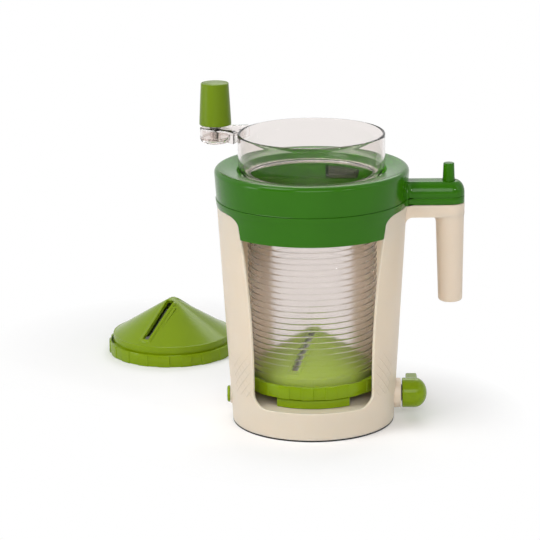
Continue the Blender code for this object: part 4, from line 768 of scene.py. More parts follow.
def grip():
    """The round grip: circles of growing radius, drawn out towards the wall under the arm."""
    end = 0.003
    t = np.linspace(0, QUARTER, 7)
    z = np.r_[GRIP_LOW + end * (1 - np.cos(t)), np.linspace(GRIP_LOW + 0.006, ARM_LOW - FILLET - MM, 16)]
    shrink = np.r_[end * (1 - np.sin(t)), np.zeros(16)]
    stretch = np.zeros(len(z))
    t = np.linspace(0, QUARTER, 9)
    z = np.r_[z, ARM_LOW - FILLET * (1 - np.sin(t)), ARM_LOW + MM]
    shrink = np.r_[shrink, np.zeros(10)]
    stretch = np.r_[stretch, FILLET * (1 - np.cos(t)), FILLET]
    share = np.clip((z - GRIP_LOW) / (ARM_LOW - GRIP_LOW), 0, 1)
    radius = (GRIP_LOW_RADIUS + (GRIP_TOP_RADIUS - GRIP_LOW_RADIUS) * share - shrink)[:, None]
    middle = (ARM_END + GRIP_LEAN * (1 - share))[:, None]
    angle = np.arange(72) * TURN / 72
    x = middle + radius * np.cos(angle) - stretch[:, None] * np.maximum(0, -np.cos(angle))
    y = radius * np.sin(angle)
    return stacked(np.stack([x, y, z[:, None] + 0 * x], -1))


def housing_details():
    """The floor with its pedestal, the axle's tunnel, and the bosses on both sides, each turned."""
    inner = housing_radius(FLOOR_TOP) - WALL / 2
    floor = [(0, FLOOR_LOW), (inner, FLOOR_LOW), (inner, FLOOR_TOP)]
    floor += [(HUB_RADIUS, FLOOR_TOP), (HUB_RADIUS, HUB_TOP), (0, HUB_TOP)]
    bore, end = 0.0052, 0.078
    start = housing_radius(AXLE_HEIGHT) - WALL - 0.0023
    right = bar(bore, 0.0142, start, BOSS_FACE, 0.0008)
    left = rounded([(bore, -start), (0.0090, -start), (0.0090, CAP_FACE), (bore, CAP_FACE)], 0.0005)
    tunnel = [(0, -end), (bore, -end), (bore, end), (0, end)]
    parts = [turned(rounded(floor, 0.0004))]
    parts += [lying(turned(shape, sides)) for shape, sides in ((tunnel, 48), (right, 96), (left, 72))]
    screw, boss, boss_low = 0.0018, 0.0040, 0.0095
    post = [(screw, boss_low), (boss, boss_low), (boss, FLOOR_LOW), (screw, FLOOR_LOW)]
    for angle in (np.arange(4) + 0.5) * QUARTER:
        spot = (COVER_SCREWS * math.cos(angle), COVER_SCREWS * math.sin(angle))
        parts.append(turned(post, 24, spot))
    return parts


def build_housing():
    """The wall as a thickened open shell, the arm with its grip, and the floor."""
    walls = front_wall() + rear_wall()
    wall = piece("housing_wall", walls, "cream_shell", "base", ["housing"], closed=False)
    face_outwards(wall)
    thicken(wall, WALL, 0.0010)
    piece("housing_handle", [arm_bar(), grip()], "cream_plastic", "base", [])
    piece("housing_floor", housing_details(), "cream_plastic", "base", [])
    dressed("cream_plastic", "bottom_cover")


# Collar

def arm_plan(inset):
    """The green arm in plan: straight sides and a round end, its root spread by a quarter round."""
    root, wall, flare = 0.0860, 0.0911, 0.0050
    half = ARM_HALF - inset
    x = np.r_[np.linspace(root, 0.0965, 18), np.linspace(0.0975, ARM_END, 12)]
    near = np.clip(1 - (x - wall) / flare, 0, 1)
    side = np.stack([x, half + flare * (1 - np.sqrt(1 - near ** 2))], -1)
    end = ellipse_arc((ARM_END, 0), (half, half), -QUARTER, QUARTER, 32)
    return np.vstack([side * (1, -1), end[1:-1], side[::-1]])


def cover_height(x, y):
    """The cover's height over the plan: a quarter ellipse in from the edge, then level."""
    inside = ARM_HALF - np.where(x > ARM_END, np.hypot(x - ARM_END, y), np.abs(y))
    share = np.clip(1 - inside / COVER_BEND, 0, 1)
    return ARM_TOP - COVER_FALL * (1 - np.sqrt(1 - share ** 2))


def arm_cover():
    """The arm's cover, an open shell: its plan carried up a quarter ellipse to a level top with a slot.

    The middle is strips across the arm as far as the peg, and there quads that run out to a long slot:
    each point of the outline goes to the slot's point at the same angle about the peg."""
    steep = math.acos(1 - COVER_INSET / COVER_BEND)
    turn = np.linspace(0, steep, 11)
    outlines = [arm_plan(0.0)] + [arm_plan(COVER_BEND * (1 - math.cos(a))) for a in turn]
    levels = [UPPER_LOW] + [ARM_TOP - COVER_FALL * (1 - math.sin(a)) for a in turn]
    sides = np.stack([levelled(*pair) for pair in zip(outlines, levels)])
    top = outlines[-1]
    start = int(np.argmax(top[:, 0] > PEG_X - SLOT_ROOM))
    across = np.linspace(0, 1, 17)[None, :, None]
    strips = top[:start + 1, None] * (1 - across) + top[::-1][:start + 1, None] * across
    loop = np.vstack([top[start:len(top) - start], strips[-1, 1:-1][::-1]])
    angle = np.arctan2(loop[:, 1], loop[:, 0] - PEG_X)
    radius = PEG_RADIUS + 0.0002
    travel = PEG_TRAVEL * (np.sin(angle) < 0)
    slot = np.stack([PEG_X + radius * np.cos(angle), radius * np.sin(angle) - travel], -1)
    ring = shared(loop, slot, 7)
    strips = np.concatenate([strips, cover_height(strips[..., :1], strips[..., 1:])], -1)
    ring = np.concatenate([ring, cover_height(ring[..., :1], ring[..., 1:])], -1)
    return [grid(sides), grid(strips), grid(ring, round_columns=True)]


def skirt():
    """The collar's front skirt: strips across the window from edge to edge, flush with the wall."""
    gap = 0.0003
    line = window_line(gap, SKIRT_LOW)
    line = np.vstack([line, line[-1:] + (0.0, 0.0010)])
    z = line[:, 1:]
    angle = unrolled(line)[:, :1] * np.linspace(-1, 1, 97)
    level = z + 0 * angle
    swell = np.clip((level - SKIRT_SWELL) / (COLLAR_SEAT - SKIRT_SWELL), 0, 1)
    outer = wall_points(angle, level, -0.00045 * swell ** 2 * (3 - 2 * swell))
    inner = wall_points(angle, level, 0.0040)
    ends = [strip(outer[:, column], inner[:, column]) for column in (0, -1)]
    edges = [strip(outer[row], inner[row]) for row in (-1, 0)]
    return [grid(outer), grid(inner), *ends, *edges]


def lower_collar():
    """The lower collar turned: its lip on the posts, the sleeve round the drum, and the web between."""
    inner_low = housing_radius(SKIRT_LOW) - WALL - 0.0003
    inner_seat = housing_radius(COLLAR_SEAT) - WALL - 0.0003
    web = SKIRT_LOW + 0.0006
    web_top = SKIRT_LOW + 0.0025
    profile = [(BORE, web), (inner_low, web), (inner_seat, COLLAR_SEAT)]
    profile += [(housing_radius(COLLAR_SEAT) + 0.0004, COLLAR_SEAT), (COLLAR_RADIUS, COLLAR_TOP)]
    profile += [(TROUGH, COLLAR_TOP), (TROUGH, web_top), (SLEEVE, web_top)]
    profile += [(SLEEVE, COLLAR_TOP), (BORE, COLLAR_TOP)]
    radii = [0.0006, 0.0004, 0.0004, 0.0005, 0.0005, 0.0003, 0.0006, 0.0006, 0.0003, 0.0003]
    return turned(rounded(profile, radii), 192)


def build_lower_collar():
    """The turned collar with its skirt, the arm's tray, and the rib that stands in under the cover."""
    tray = plate(arm_plan, COLLAR_SEAT + 0.0003, COLLAR_TOP, 0.0002, 2)
    rib = plate(lambda inset: arm_plan(inset + 0.0010), COLLAR_SEAT + 0.001, UPPER_LOW - 0.00002, 0.0001, 2)
    parts = [lower_collar(), *skirt(), tray, rib]
    piece("lower_collar_shell", parts, "green_plastic", "base", ["lower_collar"])


def upper_ring():
    """The upper collar turned: outer wall, round crest, top dished inwards, and the recess for the neck."""
    crest = COLLAR_RADIUS + 0.0008
    bend = 0.0045
    crown = ellipse_arc((crest - bend, UPPER_TOP - bend), (bend, bend), 0, QUARTER, 8)
    dish_r = np.linspace(crest - bend, RECESS + 0.0012, 10)[1:]
    fall = ((crest - bend - dish_r) / (crest - bend - RECESS)) ** 1.5
    dish = np.stack([dish_r, UPPER_TOP - 0.0026 * fall], -1)
    soft = 0.0012
    lip = ellipse_arc((RECESS + soft, dish[-1, 1] - soft), (soft, soft), QUARTER, 2 * QUARTER, 5)[1:]
    wall, under = 0.0024, 0.0734
    low = [(RECESS, NECK_SEAT + 0.003), (RECESS, NECK_SEAT), (BORE, NECK_SEAT), (BORE, NECK_SEAT - wall)]
    low += [(under, NECK_SEAT - wall), (under, UPPER_TOP - 0.0052), (crest - bend, UPPER_TOP - wall)]
    low += [(crest - wall, UPPER_TOP - bend), (COLLAR_RADIUS - wall, UPPER_LOW), (COLLAR_RADIUS, UPPER_LOW)]
    low = rounded(low, [0, 0.0005, 0.0005, 0.0004, 0.0005, 0.001, 0.001, 0.001, 0.0003, 0.0004], 3)
    return turned(np.vstack([crown, dish, lip, low[4:]]), 192)


def ring_sleeve():
    """The sleeve round the drum, left open where the half nut reaches in."""
    start = NUT_ANGLE + NUT_SLOT / 2
    return sector(bar(BORE, SLEEVE, UPPER_LOW, 0.2370, 0.0003, 2), start, start + TURN - NUT_SLOT, 140)


def build_upper_ring():
    """The turned ring with its sleeve and the pivot's boss, and the arm's cover as a thickened shell."""
    low, high = LEVER_TOP + 0.0003, 0.2350
    boss = turned([(0.0023, low), (0.0050, low), (0.0050, high), (0.0023, high)], 32, (PIVOT_X, 0))
    piece("upper_ring_shell", [upper_ring(), ring_sleeve(), boss], "green_plastic", "base", ["upper_ring"])
    cover = piece("arm_cover", arm_cover(), "green_plastic", "base", [], closed=False)
    face_outwards(cover)
    thicken(cover, COVER_WALL, 0.0002)


def release_coil():
    """The spring: a round wire along a helix from the collar's wall to the lever's band."""
    share = np.linspace(0, 1, 161)[:, None]
    turn = COIL_TURNS * TURN * share
    around = np.arange(12) * TURN / 12
    reach = COIL_RADIUS + COIL_WIRE * np.cos(around)
    along = COIL_FAR + (COIL_NEAR - COIL_FAR) * share + COIL_WIRE * np.sin(around)
    aside, up = reach * np.cos(turn), reach * np.sin(turn)
    x = along * math.cos(NUT_ANGLE) - aside * math.sin(NUT_ANGLE)
    y = along * math.sin(NUT_ANGLE) + aside * math.cos(NUT_ANGLE)
    return stacked(np.stack([x, y, LEVER_MIDDLE + up], -1))


def build_release():
    """The lever's band round the drum, its bar and its turned peg, and the coil between wall and band."""
    profile = bar(BAND_INNER, BAND_OUTER, LEVER_LOW, LEVER_TOP, 0.0005)
    band = sector(profile, math.radians(-5), NUT_ANGLE + math.radians(14.5), 48)
    near, half = (BAND_INNER + BAND_OUTER) / 2, 0.0050
    stem = plate(lambda inset: capsule((near, 0), (PEG_X, 0), half - inset), LEVER_LOW, LEVER_TOP, 0.0005)
    soft = 0.0010
    crown = ellipse_arc((0.0052 - soft, PEG_TOP - soft), (soft, soft), 0, QUARTER, 6)
    low = LEVER_LOW + 0.0006
    foot = [(0, low), (PEG_RADIUS, low), (PEG_RADIUS, ARM_TOP + 0.0008), (0.0057, ARM_TOP + 0.0024)]
    peg = turned(np.vstack([foot, crown, [(0, PEG_TOP + 0.00005)]]), 72, (PEG_X, 0))
    piece("release_peg", [band, stem, peg], "green_plastic", "release", ["release_lever"])
    coil = piece("release_coil", [release_coil()], "steel", None, ["release_spring"])
    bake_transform(coil)
    dressed("grey_nylon", "half_nut", "cup_stem", "lift_cam", "right_bush", "left_bush")


# Drum

def threaded_wall(sides, height):
    """The drum's outer face and thread: r = drum + h cos^2(pi d / w) within half a ridge's width w.

    d is the distance from the ridge z = start + lead (turn + a / 2 pi), which runs out at both ends."""
    angle = np.linspace(0, TURN, sides + 1)
    half = 0.13
    shares = np.array([-0.5, -0.25, -half, -0.098, -0.065, -0.033, 0.0, 0.033, 0.065, 0.098, half, 0.25])
    turns = np.arange(-3, TURNS + 3)
    along = (turns[:, None] + shares).ravel()
    z = THREAD_START + LEAD * (along[:, None] + angle / TURN)
    ridge = np.repeat(turns, len(shares))[:, None] + angle / TURN
    rise = np.clip(np.minimum(ridge, TURNS - ridge) / 0.25, 0, 1)
    off = np.clip(np.abs(np.tile(shares, len(turns))) / half, 0, 1)[:, None]
    r = DRUM_RADIUS + height * rise * np.cos(off * QUARTER) ** 2
    z = np.clip(z, DRUM_LOW + 0.0004, NECK - 0.002)
    return grid(swept(r, angle, z))


def plain_drum(sides):
    """The drum's inside and its cup: a profile turned on the same angles as the threaded wall.

    The cup leaves the drum by a quarter ellipse and ends in a round rim."""
    shoulder = NECK + SHOULDER
    wide, narrow = CUP_RADIUS - DRUM_RADIUS, CUP_INNER - DRUM_INNER
    out = ellipse_arc((DRUM_RADIUS, shoulder), (wide, SHOULDER), -QUARTER, 0, 12)
    into = ellipse_arc((DRUM_INNER, shoulder), (narrow, SHOULDER - 0.0024), -QUARTER, 0, 12)
    half = (CUP_RADIUS - CUP_INNER) / 2
    rim = ellipse_arc((CUP_INNER + half, RIM - half), (half, half), 0, 2 * QUARTER, 8)
    straight = np.linspace(shoulder + 0.004, RIM - 0.004, 6)
    low = np.linspace(NECK - 0.002, DRUM_LOW + 0.001, 24)
    soft = 0.0004
    outside = [[(DRUM_RADIUS, NECK - 0.002)], out, [(CUP_RADIUS, z) for z in straight], rim]
    inside = [[(CUP_INNER, z) for z in straight[::-1]], into[::-1], [(DRUM_INNER, z) for z in low]]
    foot = [(DRUM_INNER, DRUM_LOW + soft), (DRUM_INNER + soft, DRUM_LOW)]
    foot += [(DRUM_RADIUS - soft, DRUM_LOW), (DRUM_RADIUS, DRUM_LOW + soft)]
    profile = np.vstack([*outside, *inside, foot])
    angle = np.arange(sides) * TURN / sides
    return grid(swept(profile[:, :1], angle, profile[:, 1:]), round_columns=True)


def crank_plan(inset):
    """The crank arm in plan along +X: its sides spread to meet the cup and close round the boss."""
    root, spread = 0.0712, 0.088
    radius = CRANK_RADIUS - inset
    x = np.linspace(root, CRANK_REACH, 20)
    near = np.clip((spread - x) / (spread - root), 0, 1)
    half = radius + 0.0065 * near ** 2
    side = np.stack([x, half], -1)
    end = ellipse_arc((CRANK_REACH, 0), (radius, radius), -QUARTER, QUARTER, 40)
    return np.vstack([side * (1, -1), end[1:-1], side[::-1]])


def crank_arm():
    """The crank arm: a channel open below with round edges, a stack of its plan at each level."""
    t = np.linspace(0, QUARTER, 6)
    soft = 0.0012
    wall = 0.0022
    low = CRANK_TOP - 0.0112
    rows = [(crank_plan(soft * (1 - np.sin(a))), CRANK_TOP - soft * (1 - np.cos(a))) for a in t]
    rows += [(crank_plan(soft * (1 - np.cos(a))), low + soft * (1 - np.sin(a))) for a in t]
    rows += [(crank_plan(wall), low + 0.0004), (crank_plan(wall), CRANK_TOP - wall)]
    surface = stacked(np.stack([levelled(*row) for row in rows]))
    return laid(surface, Matrix.Rotation(CRANK_ANGLE, 4, "Z"))


def crank_boss():
    """The boss under the knob: a turned bowl with a round lower edge, and the post for the knob's axle."""
    low = CRANK_TOP - 0.0152
    bend = 0.0050
    top = low + 0.0060
    outer = ellipse_arc((CRANK_RADIUS - bend, low + bend), (bend, -bend), 0, QUARTER, 7)
    hole, wide = 0.0075, 0.0126
    inner = [(hole, low), (hole, low + 0.002), (0.0100, low + 0.0022), (wide, low + 0.0046), (wide, top)]
    bowl = np.vstack([[(CRANK_RADIUS, top)], outer, inner])
    post = bar(0.0033, 0.0056, low + 0.0022, CRANK_TOP - 0.0022, 0.0003, 2)
    return [turned(bowl, 72, CRANK_SPOT), turned(post, 48, CRANK_SPOT)]


def build_drum():
    """The drum with its thread, cup and bayonet lugs, the crank arm, and the seal under the cup."""
    sides = 144
    half = math.radians(9)
    lug = bar(DRUM_RADIUS - 0.0005, LUG_REACH, LUG_LOW, LUG_HIGH, 0.0004)
    parts = [threaded_wall(sides, bpy.context.scene.spiralizer_drum.thread_height), plain_drum(sides)]
    parts += [sector(lug, angle - half, angle + half, 12) for angle in BAYONET_ANGLES]
    piece("threaded_drum", parts, "clear_plastic", "drum", ["drum"], sharp=60)
    piece("crank_arm", [crank_arm(), *crank_boss()], "clear_plastic", "drum", [], sharp=50)
    low = NECK_SEAT + 0.0003
    ring = bar(0.0638, 0.0672, low, low + 0.0024, 0.0011)
    # The seal's whitish haze is partly its own milkiness and partly a painted highlight along its edge.
    piece("neck_seal", [turned(ring, 192)], "clear_silicone", "neck", ["neck_ring"])


def build_knob():
    """The knob turned: its radius falls with the height to the power 1.1, and a disc lies in its top."""
    ledge = KNOB_TOP - 0.0030
    low_radius, high_radius = 0.0154, 0.0133
    cap_radius = high_radius - 0.0014
    z = np.linspace(KNOB_LOW + 0.0015, KNOB_TOP - 0.0015, 12)
    share = (z - KNOB_LOW) / (KNOB_TOP - KNOB_LOW)
    side = np.stack([low_radius + (high_radius - low_radius) * share ** 1.1, z], -1)
    soft, sharp = 0.0010, 0.0009
    foot = ellipse_arc((side[0, 0] - soft, KNOB_LOW + soft), (soft, soft), -QUARTER, 0, 5)
    crown = ellipse_arc((side[-1, 0] - sharp, KNOB_TOP - sharp), (sharp, sharp), 0, QUARTER, 5)
    axle, hollow, floor = 0.0033, 0.0089, KNOB_LOW + 0.0070
    inside = [(cap_radius + 0.0003, KNOB_TOP - 0.0001), (cap_radius + 0.0002, ledge)]
    inside += [(hollow, ledge), (hollow, floor), (axle, floor), (axle, KNOB_LOW)]
    body = turned(np.vstack([foot, side, crown, inside]), 96, CRANK_SPOT)
    # The knob body and its disc take the darkened lime: painted shade.
    piece("knob_body", [body], "knob_plastic", "knob", ["crank_knob"])
    low, high, soft = ledge + 0.0003, KNOB_TOP, 0.0004
    cap = [(0, low), (cap_radius, low), (cap_radius, high - 0.0003), (cap_radius - soft, high), (0, high)]
    piece("knob_disc", [turned(cap, 96, CRANK_SPOT)], "knob_plastic", "knob", ["knob_cap"])


# Inserts

def lip_rise(aside, along, first, last):
    """How far the cone stands up beside a slot: h (3 s^2 - 2 s^3), s falling from 1 to 0 over the fade."""
    beside = np.maximum(np.maximum(SLOT_NEAR - aside, aside - SLOT_FAR), 0)
    beyond = np.maximum(np.maximum(first - along, along - last), 0)
    share = np.clip(1 - (np.hypot(beside, beyond) - LIP_WIDTH) / LIP_FADE, 0, 1)
    return LIP_HEIGHT * (3 * share ** 2 - 2 * share ** 3)


def cone_skin(centre, top, slope, foot, turn):
    """The cone with two slots: z = top - sqrt((slope r)^2 + blunt^2), raised round each slot.

    Rows lie a distance a down the slope. Beside a slot the columns keep an even distance from its middle
    line, and between the slots they share out the angle."""
    cosine = 1 / math.hypot(1, slope)
    sine = slope * cosine
    slant = foot / cosine
    first, last = SLOT_START, slant - 0.0090
    top_row, end_row = 7, 50
    middle = np.linspace(first, last, end_row - top_row + 1)
    a = np.r_[0.0, np.linspace(0.0010, first, top_row), middle[1:], np.linspace(last, slant, 10)[1:]]
    radius = a[:, None] * cosine
    ring = np.maximum(radius, first * cosine)
    raised = SLOT_FAR + np.array([0, 0.0010, 0.0021, 0.0026, 0.0030, 0.0034, 0.0040, 0.0055])
    plain = SLOT_NEAR - np.array([0.0055, 0.0040, 0.0034, 0.0030, 0.0026, 0.0021, 0.0010, 0])
    within = np.linspace(SLOT_NEAR, SLOT_FAR, 5)[1:-1]
    lines = (np.arcsin(np.clip(line / ring, -0.98, 0.98)) for line in (raised, plain, within))
    raised, plain, within = lines
    fill = np.linspace(0, 1, 34)[1:-1]
    room = np.maximum(plain[:, :1] + np.pi - raised[:, -1:], 0.02)
    between = raised[:, -1:] + room * fill
    rising = np.maximum.accumulate(np.hstack([between, plain + np.pi]), axis=1)
    half = np.hstack([raised, rising, within + np.pi])
    angle = np.hstack([half, half + np.pi])
    columns = half.shape[1]
    toward = np.where(np.cos(angle) < 0, -1, 1)
    out = lip_rise(radius * np.sin(angle) * toward, radius * np.cos(angle) * toward / cosine, first, last)
    out = out * np.clip(a / 0.004, 0, 1)[:, None]
    angle = angle + turn
    z = top - np.hypot(radius * slope, CONE_BLUNT)
    upper = swept(radius + out * sine, angle, z + out * cosine, centre)
    under = swept(np.maximum(radius - CONE_WALL * sine, 0), angle, z - CONE_WALL * cosine, centre)
    hole = np.zeros((len(a) - 1, 2 * columns), bool)
    start = columns - within.shape[1] - 1
    made = []
    for begin in (start, start + columns):
        edge = np.arange(begin, begin + within.shape[1] + 2) % (2 * columns)
        hole[top_row:end_row, edge[:-1]] = True
        rows = slice(top_row, end_row + 1)
        made += [strip(upper[rows, column], under[rows, column]) for column in (edge[0], edge[-1])]
        made += [strip(upper[row, edge], under[row, edge]) for row in (top_row, end_row)]
    made += [grid(skin, round_columns=True, hole=hole) for skin in (upper, under)]
    return made + [strip(upper[-1], under[-1], closed=True)]


def gripping_ring(centre, low):
    """The ring round the cone's foot: r steps between two radii over each pad, its edges drawn round."""
    pad = TURN / PADS
    soft = 0.012
    marks = np.array([0, soft, 0.25, 0.5 - soft, 0.5, 0.5 + soft, 0.75, 1 - soft])
    step = np.array([0.5, 1, 1, 1, 0.5, 0, 0, 0])
    angle = (np.arange(PADS)[:, None] + marks).ravel() * pad
    proud = np.tile(step, PADS) * PAD_RISE
    top, edge = RING_HEIGHT, 0.0003
    bend = 0.0010
    near, far, slope = RING_INNER, RING_OUTER, 0.0002
    foot = [(RING_ROOT, 0, 0), (far - bend, 0, 1), (far - edge, edge, 1), (far, bend, 1)]
    crest = [(far, top / 2, 1), (far, top - bend, 1), (far - edge, top - edge, 1), (far - bend, top, 0.5)]
    inside = [(near + edge, top, 0), (near, top - edge, 0), (near, RING_FLOOR + slope, 0)]
    inside += [(near - slope, RING_FLOOR, 0), (CONE_RADIUS - 0.001, RING_FLOOR, 0)]
    profile = np.array([*foot, *crest, *inside, (RING_ROOT, RING_FLOOR - 0.002, 0)])
    r = profile[:, :1] + profile[:, 2:] * proud
    return grid(swept(r, angle, low + profile[:, 1:2], centre), round_rows=True, round_columns=True)


def insert_parts(centre, low, top, slope, foot, turn):
    """The cone, its gripping ring with bayonet tabs, the band round its foot and the blades' seats."""
    floor = low + RING_FLOOR
    parts = cone_skin(centre, top, slope, foot, turn)
    parts.append(gripping_ring(centre, low))
    outer, edge = foot + 0.0003, top - slope * foot + 0.0006
    band = [(foot - 0.0022, floor - 0.001), (outer, floor - 0.001), (outer, edge), (foot - 0.0014, edge)]
    parts.append(turned(rounded(band, 0.0004), 144, centre))
    rim, half = low + RING_HEIGHT, math.radians(12)
    tab = bar(max(0.0620, foot), RING_INNER + 0.0005, rim - 0.0023, rim - 0.0003, 0.0004)
    parts += [sector(tab, angle - half, angle + half, 16, centre) for angle in BAYONET_ANGLES]
    end = foot * math.hypot(1, slope) - 0.0035
    for matrix in slot_frames(centre, top, slope, turn):
        parts.append(block((0.0134, SLOT_FAR, -0.0047), (end, 0.0120, -0.0010), 0.0006, matrix))
    return parts


def slot_frames(centre, top, slope, turn):
    """For each slot a frame at the cone's tip: X down the slope, Z out of the cone."""
    return [
        Matrix.Translation((*centre, top))
        @ Matrix.Rotation(turn + side * math.pi, 4, "Z")
        @ Matrix.Rotation(math.atan(slope), 4, "Y")
        for side in range(2)
    ]


def blade_parts(centre, top, slope, turn):
    """The blades under the slots, ground to an edge along one side, and the heads of their screws."""
    blades, heads = [], []
    low, high, radius = -0.0074, -0.0059, 0.0026
    head = [(0, low), (radius - 0.0007, low), (radius, low + 0.0007), (radius, high), (0, high)]
    head = rounded(head, 0.0002, 2)
    low, high = -0.0058, -0.0050
    section = [(-0.0012, -0.0051), (0.0006, low), (0.0070, low), (0.0070, high), (-0.0010, high)]
    for matrix in slot_frames(centre, top, slope, turn):
        ends = [np.c_[np.full(len(section), along), section] for along in (BLADE_START, BLADE_END)]
        blades.append(laid(stacked(np.stack(ends)), matrix))
        for along in BLADE_SCREWS:
            heads.append(laid(turned(head, 24), matrix @ Matrix.Translation((along, SCREW_ASIDE, 0))))
    return blades, heads


def build_inserts():
    """Each insert's shell, blades and screw heads, and the steel of the frame's own screws and pins."""
    inserts = (
        ("insert", (0, 0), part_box("insert_cone")[0].z, INSERT_TIP, INSERT_SLOPE, INSERT_FOOT, INSERT_TURN),
        ("spare", SPARE_CENTRE, 0.0, SPARE_TIP, SPARE_SLOPE, SPARE_FOOT, SPARE_TURN),
    )
    for body, centre, low, top, slope, foot, turn in inserts:
        shell = insert_parts(centre, low, top, slope, foot, turn)
        piece(body + "_shell", shell, "lime_plastic", body, [body + "_cone"], sharp=35)
        blades, heads = blade_parts(centre, top, slope, turn)
        nodes = [f"{body}_blade_{number}" for number in (1, 2)]
        piece(body + "_blades", blades, "steel", body, nodes, sharp=15)
        nodes = [f"{body}_blade_screw_{number}" for number in (1, 2, 3, 4)]
        piece(body + "_screw_heads", heads, "steel", body, nodes)
    dressed("steel", "collar_screw", "nut_screw", "cover_screw", "prong")
    dressed("steel", "pivot_pin", "knob_axle", "knob_washer", "lever_axle")


# Foot

def prong_table():
    """The hub turned, the front tab as a part of a ring, and the flat tongue between them."""
    low, high, radius = 0.0295, 0.0398, 0.0180
    hub = [(0.0155, low), (radius, low), (radius, high), (0, high), (0, 0.0373), (0.0155, 0.0373)]
    lip = bar(0.0615, 0.0640, 0.0283, 0.0365, 0.0008)
    half, reach = 0.93 * TAB_HALF, 0.0628
    far = ellipse_arc((0, 0), (reach, reach), FRONT - half, FRONT + half, 40)
    half, reach = 1.2, 0.0170
    near = ellipse_arc((0, 0), (reach, reach), FRONT - half, FRONT + half, 40)
    outline = np.vstack([far, near[::-1]])
    tongue = stacked(np.stack([levelled(outline, level) for level in (0.0336, 0.0362)]))
    return [turned(rounded(hub, 0.0004), 72), sector(lip, FRONT - TAB_HALF, FRONT + TAB_HALF, 40), tongue]


def suction_pad():
    """The rubber pad with its rim, and the boss in its middle that the stem lifts, each turned."""
    lip, plate_top, rim, inner, outer = 0.0012, 0.0024, 0.0065, 0.0130, 0.0751
    pad = [(inner, 0), (PAD_RADIUS, 0), (PAD_RADIUS, lip), (outer, lip), (outer, rim)]
    pad += [(0.0700, rim), (0.0700, plate_top), (inner, plate_top)]
    disc, step, collar, top, bore, hollow = 0.0126, 0.0026, 0.0150, 0.0077, 0.0043, 0.0113
    boss = [(0, 0), (disc, 0), (disc, step), (collar, step), (collar, top), (bore, top)]
    boss += [(bore, 0.0055), (hollow, 0.0055), (hollow, 0.0029), (0, 0.0029)]
    return turned(rounded(pad, 0.0003, 2), 144), turned(rounded(boss, 0.0003, 2), 96)


def lever_plan(inset):
    """The lever's arm seen along its axle: two straight sides from the axle and a round end."""
    half = LEVER_BEND - inset
    arc = ellipse_arc((LEVER_REACH - LEVER_BEND, 0), (half, half), -QUARTER, QUARTER, 20)
    return np.vstack([[(0, -half)], arc, [(0, half)]])


def suction_lever():
    """The lever's dome, a profile closed by a quarter ellipse and turned, with its arm, laid along X."""
    low, edge = DOME_START, 0.0002
    face = [(0, low), (DOME_RADIUS - 4 * edge, low), (DOME_RADIUS - edge, low + 2 * edge)]
    side = [(DOME_RADIUS, x) for x in np.linspace(low + 0.0012, DOME_STRAIGHT, 5)]
    dome = ellipse_arc((0, DOME_STRAIGHT), (DOME_RADIUS, DOME_END - DOME_STRAIGHT), 0, QUARTER, 14)
    arm = plate(lever_plan, LEVER_START, LEVER_START + LEVER_WIDTH, 0.0014)
    return [lying(turned(np.vstack([face, side, dome[1:]]), 96)), lying(arm)]


def axle_end():
    """The axle's cap at the left: a disc with a round outer edge, turned and laid along X."""
    face, radius, soft = CAP_FACE - 0.0003, 0.0080, 0.0016
    end = face - 0.0028
    crown = ellipse_arc((radius - soft, end + soft), (soft, -soft), 0, QUARTER, 6)
    return lying(turned(np.vstack([[(0, face), (radius, face)], crown, [(0, end)]]), 64))


def build_foot():
    """The prong table, the suction pad and its boss, the suction lever and the axle's cap."""
    pad, boss = suction_pad()
    piece("prong_table", prong_table(), "lime_plastic", "base", ["prong_plate"])
    piece("suction_cup", [pad], "black_rubber", "base", ["suction_pad"])
    piece("suction_boss", [boss], "black_rubber", "stem", [])
    piece("suction_handle", suction_lever(), "lime_plastic", "lever", ["suction_lever"])
    piece("axle_end", [axle_end()], "lime_plastic", "lever", ["axle_cap"])


# Stage

CAMERA = {
    "target": 0.140,
    "distance": 2.488592,
    "elevation": 0.267827854,
    "yaw": 0.0163465,
    "pitch": 0.00315943,
    "roll": -0.00734266,
    "lens": 172.64,
}


def tilted(first, second, angle):
    """Two directions at right angles, both turned by an angle in their plane."""
    cosine, sine = math.cos(angle), math.sin(angle)
    return cosine * first + sine * second, cosine * second - sine * first


def aim_camera():
    """A camera at a distance from the target, then turned a little about its own axes."""
    rise = CAMERA["elevation"]
    forward = Vector((0, math.cos(rise), -math.sin(rise)))
    place = Vector((0, 0, CAMERA["target"])) - CAMERA["distance"] * forward
    right = Vector((1, 0, 0))
    up = right.cross(forward)
    right, forward = tilted(right, forward, CAMERA["yaw"])
    forward, up = tilted(forward, up, CAMERA["pitch"])
    right, up = tilted(right, up, CAMERA["roll"])
    data = bpy.data.cameras.new("camera")
    data.sensor_width = 36
    data.lens = CAMERA["lens"]
    data.clip_end = 20
    camera = bpy.data.objects.new("camera", data)
    turn = Matrix((right, up, -forward)).transposed().to_4x4()
    camera.matrix_world = Matrix.Translation(place) @ turn
    bpy.context.scene.collection.objects.link(camera)
    bpy.context.scene.camera = camera


SEEN_RAYS = ("Is Camera Ray", "Is Transmission Ray", "Is Glossy Ray")
LAMP_TARGET = (0, 0, 0.13)
LAMPS = {
    "key": ((-1.0, -0.6, 1.75), (1.0, 1.0)),
    "left": ((-1.9, -0.55, 0.50), (0.5, 0.9)),
    "front": ((0.10, -2.1, 1.10), (1.6, 0.9)),
    "fill": ((1.65, -0.5, 1.0), (0.8, 1.2)),
    "back": ((0.3, 1.6, 1.5), (1.4, 0.8)),
    "spark": ((1.27, -1.35, 0.93), (0.09, 0.09)),
}


def lamp(name, place, size, power):
    """A soft rectangular lamp that faces the object."""
    data = bpy.data.lights.new(name, "AREA")
    data.shape = "RECTANGLE"
    data.size, data.size_y = size
    data.energy = power
    made = bpy.data.objects.new(name, data)
    made.location = place
    made.rotation_euler = (Vector(LAMP_TARGET) - Vector(place)).to_track_quat("-Z", "Y").to_euler()
    bpy.context.scene.collection.objects.link(made)


